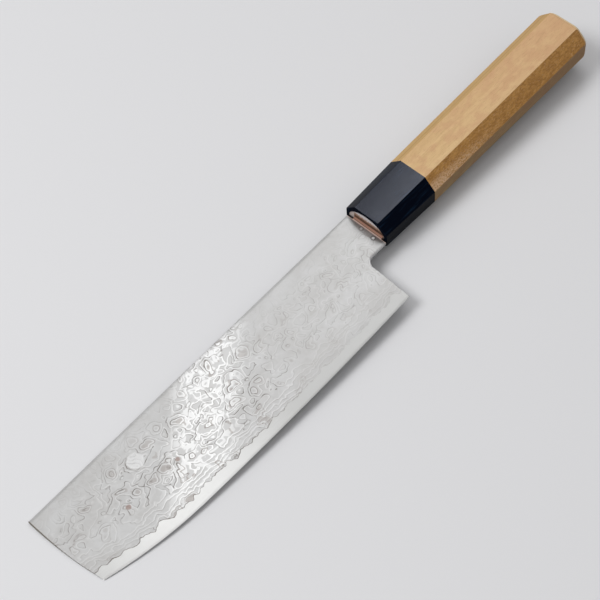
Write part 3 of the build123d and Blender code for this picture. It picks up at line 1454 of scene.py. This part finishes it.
    def layout(self, side: Side) -> Layout:
        """Lays out one face as a grid of columns and rows.

        Args:
            side: The face, whose lamination line wanders in its own way.

        Returns:
            The points by column and row. The neck and the tang have only the upper rows.
        """
        points: Layout = {}
        self._lay_blade(points, side)
        self._lay_neck_and_tang(points)
        return points

    def _lay_blade(self, points: Layout, side: Side) -> None:
        """Adds the columns from the tip face to the choil.

        Args:
            points: The layout that gets them.
            side: The face.
        """
        fine = self.rim_round
        width = self.heel_face(0) - self.tip_face(0)
        ends = [0.0, self.rim_row_share * fine / width, fine / width]
        inner = [(step + 1) / (self.blade_columns + 1) for step in range(self.blade_columns)]
        shares = ends + inner + [1 - end for end in reversed(ends)]
        strip = [0.0, self.edge_bevel_width]
        for column, share in enumerate(shares):

            def across(y: float) -> float:
                """Place of this column at a height."""
                return blend(self.tip_face(y), self.heel_face(y), share)

            def settle(inset: float) -> float:
                """Height at which this column crosses a line beside the edge.

                Args:
                    inset: How far the line lies inside the edge.

                Returns:
                    The height.
                """
                y = -self.heel_depth
                for _ in range(self.settle_rounds):
                    y = self.edge.height_at(across(y), inset)
                return y

            seam = self.seam_inset(across(-self.heel_depth), side)
            steps = [(step + 1) / self.strip_rows for step in range(self.strip_rows)]
            insets = strip + [blend(strip[-1], seam, step) for step in steps]
            insets += [seam + self.seam_step, seam + self.seam_ramp]
            heights = [settle(inset) for inset in insets]
            steps = [(step + 1) / self.lower_rows for step in range(self.lower_rows - 1)]
            heights += [blend(heights[-1], self.waist.y, step) for step in steps]
            for share_up, shift in self.upper_places():
                top = self.spine(across(self.spine_height_tip))
                heights.append(blend(self.waist.y, top, share_up) + shift)
            for row, y in enumerate(heights):
                x = across(y)
                distance = insets[row] if row < len(insets) else self.edge.distance(x, y)
                points[column, row] = FacePoint(x, y, distance, distance - seam, self.rim_distance(x, y))
        self.seam_row = len(strip) + self.strip_rows
        self.waist_row = self.seam_row + 2 + self.lower_rows - 1
        self.last_column = len(shares) - 1

    def _lay_neck_and_tang(self, points: Layout) -> None:
        """Adds the columns from the choil to the shoulder, and those of the tang.

        Args:
            points: The layout that gets them.
        """
        half = self.neck_columns // 2
        start = math.atan2(self.waist.y - self.choil_y, self.waist.x - self.choil_centre.x)
        feet = []
        for step in range(1, half + 1):
            angle = blend(start, math.pi / 2, step / half)
            feet.append(self.choil_centre + Vector((math.cos(angle), math.sin(angle))) * self.choil_radius)
        for step in range(1, half + 1):
            feet.append(Vector((blend(self.choil_centre.x, self.shoulder_x, step / half), self.neck_foot)))
        places = self.upper_places()
        for step, foot in enumerate(feet):
            for row, (share, shift) in enumerate(places):
                y = blend(foot.y, self.spine(foot.x), share) + shift
                distance = self.edge.distance(foot.x, y)
                rim = self.rim_distance(foot.x, y)
                key = (self.last_column + 1 + step, self.waist_row + row)
                points[key] = FacePoint(foot.x, y, distance, distance, rim)
        shoulder_column = self.last_column + len(feet)
        low_row = self.first_tang_row
        high_row = low_row + self.upper_rows
        for step in range(1, self.tang_columns + 1):
            share = math.sin(step / self.tang_columns * math.pi / 2)
            x = self.shoulder_x + self.tang_length * share
            low, high = self._tang_sides(x)
            for row in range(low_row, high_row + 1):
                y = blend(low, high, (row - low_row) / self.upper_rows)
                key = (shoulder_column + step, self.waist_row + row)
                points[key] = FacePoint(x, y, self.heel_depth, self.heel_depth, self.neck_width)

    def _tang_sides(self, x: float) -> tuple[float, float]:
        """Heights of the tang's two sides, which meet its end in rounded corners.

        Args:
            x: Place along the tang.

        Returns:
            The lower and the upper side's height.
        """
        share = (x - self.shoulder_x) / self.tang_length
        low = blend(-self.tang_root_drop - self.tang_root_width / 2, -self.tang_end_width / 2, share)
        high = blend(-self.tang_root_drop + self.tang_root_width / 2, self.tang_end_width / 2, share)
        past = max(0.0, x - (self.shoulder_x + self.tang_length - self.tang_end_radius))
        radius = self.tang_end_radius
        corner = radius - math.sqrt(max(0.0, radius**2 - past**2))
        return low + corner, high - corner

    def half_thickness(self, point: FacePoint) -> float:
        """Height of the ground face over the middle plane.

        Args:
            point: A point of the face.

        Returns:
            The height.
        """
        if point.x > self.shoulder_x:
            return self.tang_flat.height(point.x, point.y)
        flat = self.blade_flat.height(point.x, point.y)
        bevel_half = self.edge_bevel_thickness / 2
        if point.edge <= self.edge_bevel_width:
            return max(self.edge_land, bevel_half * point.edge / self.edge_bevel_width)
        run = self.core_strip_width - self.edge_bevel_width
        rate = (self.core_thickness / 2 - bevel_half) / run
        ground = bevel_half + rate * (point.edge - self.edge_bevel_width)
        near = max(self.grind_blend - abs(flat - ground), 0.0) / self.grind_blend
        return min(flat, ground) - near**2 * self.grind_blend / 4

    def rounding(self, point: FacePoint, thickness: float) -> float:
        """How far the face falls near the outline, where its rim is rounded.

        Args:
            point: A point of the face.
            thickness: Thickness of the piece there, which bounds the radius.

        Returns:
            The fall.
        """
        radius = min(self.rim_round, self.rim_thickness_share * thickness)
        if point.rim >= radius:
            return 0.0
        return radius - math.sqrt(radius**2 - (radius - point.rim) ** 2)

    def core_height(self, point: FacePoint, row: int) -> float:
        """Height of the core's surface, which lies bare under the lamination line and sunk above it.

        Args:
            point: A point of the face.
            row: The point's row.

        Returns:
            The height over the middle plane.
        """
        half = self.half_thickness(point)
        if row < self.seam_row:
            return half - self.rounding(point, half)
        return min(self.core_thickness / 2, half - self.seam_step)

    def build(self, axes: KnifeAxes) -> list[bpy.types.Object]:
        """Makes the core and the two claddings.

        Args:
            axes: The knife's axes in the part's frame.

        Returns:
            The three pieces, each riding on the knife and standing for its node.
        """
        layouts = {side: self.layout(side) for side in Side}
        pieces = [self._core(layouts, axes)]
        pieces += [self._cladding(layouts[side], side, axes) for side in Side]
        return pieces

    def _core(self, layouts: dict[Side, Layout], axes: KnifeAxes) -> bpy.types.Object:
        """Makes the core, whose bare strips wander in their own way on each face.

        Args:
            layouts: The grid of each face.
            axes: The knife's axes in the part's frame.

        Returns:
            The piece.
        """
        sheets = []
        for side in Side:
            sheet = {
                key: (point, self.core_height(point, key[1]) * side.value)
                for key, point in layouts[side].items()
            }
            sheets.append(sheet)
        piece = self._solid("blade_core", sheets[0], sheets[1], axes)
        piece.data.materials.append(CoreSteel().build(axes))
        return declare(piece, "core_steel")

    def _cladding(self, layout: Layout, side: Side, axes: KnifeAxes) -> bpy.types.Object:
        """Makes one cladding, from the lamination line up to the spine and along the tang.

        Args:
            layout: The face's grid.
            side: The face.
            axes: The knife's axes in the part's frame.

        Returns:
            The piece.
        """
        outer, inner = {}, {}
        for key, point in layout.items():
            if key[1] < self.seam_row:
                continue
            base = self.core_height(point, key[1])
            half = self.half_thickness(point)
            top = half - self.rounding(point, half - base)
            outer[key] = (point, top * side.value)
            inner[key] = (point, base * side.value)
        name = f"blade_cladding_{side.name.lower()}"
        piece = self._solid(name, outer, inner, axes)
        piece.data.materials.append(LayeredSteel(side).build(axes))
        return declare(piece, name.replace("blade_", ""))

    def _solid(self, name: str, first: Sheet, second: Sheet, axes: KnifeAxes) -> bpy.types.Object:
        """Closes two sheets with the same grid into a solid.

        Args:
            name: The piece's name.
            first: Points and heights of one sheet, by column and row.
            second: Points and heights of the other.
            axes: The knife's axes in the part's frame.

        Returns:
            The piece, with the distances from the edge and from the lamination line on its points.
        """
        work = bmesh.new()
        distances = work.verts.layers.float.new("edge_distance")
        seams = work.verts.layers.float.new("seam_distance")
        sheets = []
        for sheet in (first, second):
            vertices = {}
            for key, (point, height) in sheet.items():
                vertex = work.verts.new((point.x, point.y, height))
                vertex[distances] = point.edge
                vertex[seams] = point.seam
                vertices[key] = vertex
            sheets.append(vertices)
        sides: dict[tuple, int] = {}
        for column, row in first:
            corners = [(column, row), (column + 1, row), (column + 1, row + 1), (column, row + 1)]
            if all(corner in first for corner in corners):
                for vertices in sheets:
                    work.faces.new([vertices[corner] for corner in corners])
                for here, there in zip(corners, corners[1:] + corners[:1]):
                    key = (min(here, there), max(here, there))
                    sides[key] = sides.get(key, 0) + 1
        for (here, there), uses in sides.items():
            if uses == 1:
                work.faces.new([sheets[0][here], sheets[0][there], sheets[1][there], sheets[1][here]])
        bmesh.ops.recalc_face_normals(work, faces=work.faces[:])
        mesh = bpy.data.meshes.new(name)
        work.to_mesh(mesh)
        work.free()
        finish_mesh(mesh, axes, self.crease)
        return make_object(name, mesh)


# Handle


@dataclass(frozen=True)
class EightSides:
    """Eight-sided section, with the width that each bevel cuts off. Lengths are in millimetres."""

    width: float
    depth: float
    bevel: float


@dataclass
class EightSidedLoft:
    """Geometry node tree for the skin of a tapered eight-sided stick with softened edges."""

    bevel_depth_share: float = 1.06
    corner_steps: int = 8
    rows: int = 24
    round_steps: int = 8
    tree: bpy.types.GeometryNodeTree = field(init=False)
    inputs: dict[str, str] = field(init=False, default_factory=dict)

    def __post_init__(self) -> None:
        """Builds the tree."""
        self.tree = bpy.data.node_groups.new("eight_sided_loft", "GeometryNodeTree")
        self._wire()

    def _input(self, name: str, kind: str = "NodeSocketFloat") -> None:
        """Adds a named input to the tree and keeps its identifier."""
        made = self.tree.interface.new_socket(name, in_out="INPUT", socket_type=kind)
        self.inputs[name] = made.identifier

    def _wire(self) -> None:
        """Adds the nodes: a grid whose points take their places on the tapered section by formula."""
        tree = self.tree
        names = ["Near Width", "Near Depth", "Near Bevel", "Far Width", "Far Depth", "Far Bevel"]
        names += ["Near Place", "Far Place", "Edge Round", "End Round", "Corner Growth"]
        for name in names:
            self._input(name)
        self._input("Finish", "NodeSocketMaterial")
        tree.interface.new_socket("Skin", in_out="OUTPUT", socket_type="NodeSocketGeometry")
        entry = tree.nodes.new("NodeGroupInput")
        given = {name: Term(tree, entry.outputs[name]) for name in names}
        around = SIDES * self.corner_steps
        grid = tree.nodes.new("GeometryNodeMeshGrid")
        grid.inputs["Vertices X"].default_value = self.rows + self.round_steps
        grid.inputs["Vertices Y"].default_value = around + 1
        index = Term(tree, tree.nodes.new("GeometryNodeInputIndex").outputs[0])
        row = ((index + 0.5) / (around + 1.0)).floor()
        column = (index - row * (around + 1.0)) % float(around)
        x, inset, edge, share = self._station(given, row)
        y, z = self._section(given, column, inset, edge, share)
        join = tree.nodes.new("ShaderNodeCombineXYZ")
        for socket, value in zip(join.inputs, (x, y, z)):
            feed(tree, socket, value)
        place = tree.nodes.new("GeometryNodeSetPosition")
        dress = tree.nodes.new("GeometryNodeSetMaterial")
        merge = tree.nodes.new("GeometryNodeMergeByDistance")
        real = tree.nodes.new("GeometryNodeRealizeInstances")
        leave = tree.nodes.new("NodeGroupOutput")
        links = tree.links
        links.new(grid.outputs["Mesh"], place.inputs["Geometry"])
        links.new(join.outputs[0], place.inputs["Position"])
        links.new(place.outputs[0], merge.inputs["Geometry"])
        links.new(merge.outputs[0], real.inputs["Geometry"])
        links.new(real.outputs[0], dress.inputs["Geometry"])
        links.new(entry.outputs["Finish"], dress.inputs["Material"])
        links.new(dress.outputs[0], leave.inputs[0])

    def _station(self, given: dict[str, Term], row: Term) -> tuple[Term, Term, Term, Term]:
        """Works out what all points of a row share.

        Args:
            given: The tree's inputs.
            row: The row's number.

        Returns:
            Place along the stick, inset of the flats, radius of the edges and share of the taper.
        """
        near, far, end = given["Near Place"], given["Far Place"], given["End Round"]
        heading = (far - near).sign()
        straight = (row / float(self.rows - 1)).least(1.0)
        turn = (row - float(self.rows - 1)).most(0.0) * (math.pi / 2 / self.round_steps)
        bend = far - heading * end
        x = near + (bend - near) * straight + heading * end * turn.sin()
        inset = end * (turn.cos() * -1.0 + 1.0)
        edge = given["Edge Round"] + given["Corner Growth"] * turn.sin()
        return x, inset, edge, (x - near) / (far - near)

    def _section(
        self, given: dict[str, Term], column: Term, inset: Term, edge: Term, share: Term,
    ) -> tuple[Term, Term]:
        """Place of each point of the eight-sided section, whose corners are small arcs.

        Args:
            given: The tree's inputs.
            column: The point's number round the section.
            inset: How far the flats are pulled in.
            edge: Radius of the corners.
            share: Share of the taper.

        Returns:
            The point's two coordinates across the stick.
        """
        lean = math.atan2(1, self.bevel_depth_share)
        sine, cosine = math.sin(lean), math.cos(lean)
        width, depth, bevel = (
            given[f"Near {name}"] + (given[f"Far {name}"] - given[f"Near {name}"]) * share
            for name in ("Width", "Depth", "Bevel")
        )
        pull = edge + inset
        side_half = width * 0.5 - pull
        top_half = depth * 0.5 - pull
        bevel_half = (width * 0.5 - bevel) * cosine + depth * (0.5 * sine) - pull
        corner = ((column + 0.5) / float(self.corner_steps)).floor()
        sub = (column - corner * float(self.corner_steps)) / float(self.corner_steps - 1)

        def facing(flat: Term) -> Term:
            """Direction in which a flat looks, counted round from the side towards the spine."""
            skew = (flat * (math.pi / 2)).sin() * (lean - math.pi / 4)
            return flat * (math.pi / 4) + skew

        start = facing(corner)
        finish = facing(corner + 1.0)
        angle = start + (finish - start) * sub
        middle = (start + finish) * 0.5
        main_flat = ((corner + 1.0) * 0.5).floor() * 2.0
        on_top = (main_flat * (math.pi / 4)).sin().size().over(0.5)
        side_z = (bevel_half - side_half * cosine) / sine
        top_y = (bevel_half - top_half * sine) / cosine
        corner_y = side_half + (top_y - side_half) * on_top
        corner_z = side_z + (top_half - side_z) * on_top
        y = middle.cos().sign() * corner_y + edge * angle.cos()
        z = middle.sin().sign() * corner_z + edge * angle.sin()
        return y, z

    def skin(
        self, name: str, ends: tuple[EightSides, EightSides], places: tuple[float, float],
        rounds: tuple[float, float, float], finish: bpy.types.Material,
    ) -> bpy.types.Mesh:
        """Runs the tree for one stick.

        Args:
            name: The mesh's name.
            ends: The sections at the near and the far end.
            places: Where these ends are along the knife.
            rounds: Radius of the long edges and of the far end's rim, and how much the edges' radius
                grows along it.
            finish: The skin's material.

        Returns:
            The skin as a plain mesh on the knife's axes, open at both ends.
        """
        carrier = make_object(name, bpy.data.meshes.new(name))
        run = carrier.modifiers.new("loft", "NODES")
        run.node_group = self.tree
        values = {"Near Place": places[0], "Far Place": places[1]}
        values |= {"Edge Round": rounds[0], "End Round": rounds[1], "Corner Growth": rounds[2]}
        values["Finish"] = finish
        for label, section in zip(("Near", "Far"), ends):
            values[f"{label} Width"] = section.width
            values[f"{label} Depth"] = section.depth
            values[f"{label} Bevel"] = section.bevel
        for label, value in values.items():
            run[self.inputs[label]] = value
        ready = carrier.evaluated_get(bpy.context.evaluated_depsgraph_get())
        mesh = bpy.data.meshes.new_from_object(ready)
        carrier.modifiers.remove(run)
        bpy.data.objects.remove(carrier)
        mesh.materials.clear()
        mesh.materials.append(finish)
        mesh.polygons.foreach_set("material_index", [0] * len(mesh.polygons))
        return mesh


def ring_at(work: bmesh.types.BMesh, x: float) -> list[bmesh.types.BMVert]:
    """Finds an open end.

    Args:
        work: The mesh.
        x: The end's place along the knife.

    Returns:
        The end's vertices, in order round it.
    """
    reach = 1e-3
    ends = [v for v in work.verts if abs(v.co.x - x) < reach and v.is_boundary]
    return sorted(ends, key=lambda v: math.atan2(v.co.z, v.co.y))


def oval_ring(
    work: bmesh.types.BMesh, like: list[bmesh.types.BMVert], x: float, width: float, depth: float,
    centre: float = 0.0, squareness: float = 1.0,
) -> list[bmesh.types.BMVert]:
    """Adds a ring of as many points as another ring, spread evenly round it.

    Args:
        work: The mesh that gets the ring.
        like: The ring that it faces.
        x: Its place along the knife.
        width: Its width towards the spine.
        depth: Its depth out of the face.
        centre: Height of its centre towards the spine.
        squareness: 1 for an ellipse, lower for squarer corners.

    Returns:
        The ring's vertices.
    """
    ring = []
    for index in range(len(like)):
        angle = -math.pi + (index + 0.5) * 2 * math.pi / len(like)
        cosine, sine = math.cos(angle), math.sin(angle)
        y = centre + width / 2 * math.copysign(abs(cosine) ** squareness, cosine)
        z = depth / 2 * math.copysign(abs(sine) ** squareness, sine)
        ring.append(work.verts.new((x, y, z)))
    return ring


@dataclass
class Handle:
    """Eight-sided handle: a horn ferrule on the tenon of a one-piece wooden grip. Millimetres."""

    ferrule_length: float = 29.5
    grip_length: float = 103.0
    front: EightSides = EightSides(21.8, 16.8, 4.6)
    joint: EightSides = EightSides(23.8, 18.1, 5.35)
    butt: EightSides = EightSides(25.1, 20.0, 5.55)
    butt_round: float = 3.1
    butt_corner_growth: float = 5.6
    ferrule_front_round: float = 0.3
    ferrule_edge_round: float = 0.3
    grip_edge_round: float = 0.5
    tenon_width: float = 19.2
    tenon_depth: float = 13.8
    tenon_glue_gap: float = 0.05
    tenon_recess: float = 0.2
    tenon_rim: float = 0.25
    bedding_gap: float = 0.35
    bedding_floor: float = 2.0
    slot_squareness: float = 0.35
    crease: float = 30.0
    loft: EightSidedLoft = field(default_factory=EightSidedLoft)

    @property
    def length(self) -> float:
        """From the ferrule's front face to the butt."""
        return self.ferrule_length + self.grip_length

    def build(self, axes: KnifeAxes, blade: Blade) -> list[bpy.types.Object]:
        """Makes the ferrule and the grip.

        Args:
            axes: The knife's axes in the part's frame.
            blade: The blade, whose tang the slot takes.

        Returns:
            The two pieces.
        """
        return [self._ferrule(axes), self._grip(axes, blade)]

    def _ferrule(self, axes: KnifeAxes) -> bpy.types.Object:
        """Makes the ferrule: a closed ring with an oval bore and a rounded front rim.

        Args:
            axes: The knife's axes in the part's frame.

        Returns:
            The piece.
        """
        mesh = self.loft.skin(
            "ferrule_horn", (self.joint, self.front), (self.ferrule_length, 0.0),
            (self.ferrule_edge_round, self.ferrule_front_round, 0.0), Horn().build(axes),
        )
        work = bmesh.new()
        work.from_mesh(mesh)
        front, back = ring_at(work, 0.0), ring_at(work, self.ferrule_length)
        width = self.tenon_width + 2 * self.tenon_glue_gap
        depth = self.tenon_depth + 2 * self.tenon_glue_gap
        mouth = oval_ring(work, front, 0.0, width, depth)
        end = oval_ring(work, front, self.ferrule_length, width, depth)
        join_rings(work, front, mouth)
        join_rings(work, mouth, end)
        join_rings(work, end, back)
        return self._finish(work, mesh, axes, "ferrule")

    def _grip(self, axes: KnifeAxes, blade: Blade) -> bpy.types.Object:
        """Makes the grip with its tenon, its rounded butt and the slot for the tang.

        Args:
            axes: The knife's axes in the part's frame.
            blade: The blade, whose tang the slot takes.

        Returns:
            The piece.
        """
        mesh = self.loft.skin(
            "grip_wood", (self.joint, self.butt), (self.ferrule_length, self.length),
            (self.grip_edge_round, self.butt_round, self.butt_corner_growth), Magnolia().build(axes),
        )
        mesh.materials.append(TenonWood().build(axes))
        work = bmesh.new()
        work.from_mesh(mesh)
        shoulder, end = ring_at(work, self.ferrule_length), ring_at(work, self.length)
        work.faces.new(end)
        root = oval_ring(work, shoulder, self.ferrule_length, self.tenon_width, self.tenon_depth)
        rim_x = self.tenon_recess + self.tenon_rim
        rim = oval_ring(work, shoulder, rim_x, self.tenon_width, self.tenon_depth)
        face = oval_ring(
            work, shoulder, self.tenon_recess,
            self.tenon_width - 2 * self.tenon_rim, self.tenon_depth - 2 * self.tenon_rim,
        )
        mouth_width = blade.tang_root_width + 2 * self.bedding_gap
        mouth_depth = blade.neck_thickness + 2 * self.bedding_gap
        drop = -blade.tang_root_drop
        square = self.slot_squareness
        mouth = oval_ring(work, shoulder, self.tenon_recess, mouth_width, mouth_depth, drop, square)
        floor_x = blade.shoulder_x + blade.tang_length + self.bedding_floor
        floor_width = blade.tang_end_width + 2 * self.bedding_gap
        floor_depth = blade.tang_end_thickness + 2 * self.bedding_gap
        floor = oval_ring(work, shoulder, floor_x, floor_width, floor_depth, 0.0, square)
        bands = [(shoulder, root), (root, rim), (rim, face), (face, mouth), (mouth, floor)]
        for first, second in bands:
            join_rings(work, first, second, 1)
        work.faces.new(floor)
        return self._finish(work, mesh, axes, "handle_body")

    def _finish(
        self, work: bmesh.types.BMesh, mesh: bpy.types.Mesh, axes: KnifeAxes, node: str
    ) -> bpy.types.Object:
        """Args:
            work: The closed shape, on the knife's axes.
            mesh: The mesh that takes it, with its finishes.
            axes: The knife's axes in the part's frame.
            node: The node that the piece stands for.

        Returns:
            The piece.
        """
        bmesh.ops.recalc_face_normals(work, faces=work.faces[:])
        work.to_mesh(mesh)
        work.free()
        finish_mesh(mesh, axes, self.crease)
        return declare(make_object(mesh.name, mesh), node)


def declare(piece: bpy.types.Object, node: str) -> bpy.types.Object:
    """Makes a piece ride on the knife and stand for its node.

    Args:
        piece: The finished piece.
        node: The node that it stands for.

    Returns:
        The piece.
    """
    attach(piece, "root")
    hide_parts(node)
    return piece


# Studio


@dataclass(frozen=True)
class SoftBox:
    """Large soft lamp that looks at the knife."""

    name: str
    place: Triple
    size: tuple[float, float]
    power: float

    def build(self) -> None:
        """Adds the lamp."""
        lamp = bpy.data.lights.new(self.name, "AREA")
        lamp.shape = "RECTANGLE"
        lamp.size, lamp.size_y = self.size
        lamp.energy = self.power
        made = bpy.data.objects.new(self.name, lamp)
        made.location = self.place
        made.rotation_euler = (-Vector(self.place)).to_track_quat("-Z", "Y").to_euler()
        bpy.context.scene.collection.objects.link(made)


@dataclass(frozen=True)
class Viewpoint:
    """Camera at the photograph's viewing angle. Lengths are in millimetres, angles in degrees."""

    azimuth: float = -44.655
    elevation: float = 56.209
    roll: float = -3.937
    distance: float = 715.553
    target: Triple = (-15.888, 12.312, 0.0)
    focal_pixels: float = 1769.65
    picture_pixels: float = 600.0
    sensor: float = 36.0
    nearest: float = 10.0

    def build(self) -> None:
        """Adds the camera and makes it the scene's."""
        azimuth, elevation, roll = (math.radians(a) for a in (self.azimuth, self.elevation, self.roll))
        flat = math.cos(elevation)
        back = Vector((math.sin(azimuth) * flat, -math.cos(azimuth) * flat, math.sin(elevation)))
        level = Vector((math.cos(azimuth), math.sin(azimuth), 0))
        rise = back.cross(level)
        right = level * math.cos(roll) + rise * math.sin(roll)
        up = rise * math.cos(roll) - level * math.sin(roll)
        data = bpy.data.cameras.new("camera")
        data.sensor_width = self.sensor
        data.lens = self.focal_pixels / self.picture_pixels * self.sensor
        data.clip_start = self.nearest * MM
        made = bpy.data.objects.new("camera", data)
        turn = Matrix((right, up, back)).transposed().to_4x4()
        place = (Vector(self.target) + back * self.distance) * MM
        made.matrix_world = Matrix.Translation(place) @ turn
        bpy.context.scene.collection.objects.link(made)
        bpy.context.scene.camera = made


@dataclass
class Studio:
    """Pale floor, even surroundings and soft lamps."""

    floor_size: float = 6.0
    floor_colour: Colour = tone(232, 232, 234)
    floor_bounce: Colour = tone(58, 56, 60)
    floor_roughness: float = 0.9
    floor_gloss: float = 0.2
    low_sky: float = 0.22
    high_sky: float = 0.62
    sky_fade: Fade = (0.3, 1.0)
    lamps: Sequence[SoftBox] = (
        SoftBox("blade_lamp", (0.22, 0.6, 1.33), (0.5, 0.8), 1.25),
        SoftBox("ferrule_lamp", (0.72, 0.52, 1.26), (0.28, 0.6), 1.05),
        SoftBox("front_lamp", (-0.8, 0.45, 1.2), (0.6, 0.6), 9.9),
    )

    def build(self) -> None:
        """Adds the floor, the world and the lamps."""
        self._floor()
        self._world()
        for lamp in self.lamps:
            lamp.build()
        bpy.context.scene.view_settings.view_transform = "Standard"

    def _floor(self) -> None:
        """Adds the floor that the knife lies on, pale where it is seen and darker as a light source."""
        work = bmesh.new()
        bmesh.ops.create_grid(work, x_segments=1, y_segments=1, size=self.floor_size / 2)
        mesh = bpy.data.meshes.new("floor")
        work.to_mesh(mesh)
        work.free()
        material = bpy.data.materials.new("floor_paper")
        material.use_nodes = True
        tree = material.node_tree
        shader = tree.nodes["Principled BSDF"]
        path = tree.nodes.new("ShaderNodeLightPath")
        camera, glossy, through = (
            Term(tree, path.outputs[f"Is {kind} Ray"]) for kind in ("Camera", "Glossy", "Transmission")
        )
        seen = (camera + glossy + through).least(1.0)
        colour = mix_colours(tree, seen, self.floor_bounce, self.floor_colour)
        feed(tree, shader.inputs["Base Color"], colour)
        shader.inputs["Roughness"].default_value = self.floor_roughness
        shader.inputs["Specular IOR Level"].default_value = self.floor_gloss
        mesh.materials.append(material)
        make_object("floor", mesh)

    def _world(self) -> None:
        """Makes the surroundings white, brightest overhead."""
        world = bpy.data.worlds.new("surroundings")
        world.use_nodes = True
        tree = world.node_tree
        back = tree.nodes["Background"]
        back.inputs["Color"].default_value = (1, 1, 1, 1)
        direction = Term(tree, tree.nodes.new("ShaderNodeTexCoord").outputs["Generated"])
        overhead = direction.parts()[2].rise(*self.sky_fade)
        feed(tree, back.inputs["Strength"], overhead * (self.high_sky - self.low_sky) + self.low_sky)
        bpy.context.scene.world = world


def main() -> None:
    """Loads the frame, dresses the knife and sets up the studio."""
    logging.basicConfig(level=logging.INFO, format="%(message)s")
    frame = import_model()
    handle = Handle()
    blade = Blade()
    axes = KnifeAxes.from_record(frame["record"], handle.length)
    Viewpoint().build()
    pieces = blade.build(axes) + handle.build(axes, blade)
    bedding = frame["nodes"]["tang_bedding"]
    bedding.data.materials.clear()
    bedding.data.materials.append(Bedding().build(axes))
    for piece in pieces:
        LOG.info("%s: %d faces", piece.name, len(piece.data.polygons))
    Studio().build()


if __name__ == "__main__":
    main()
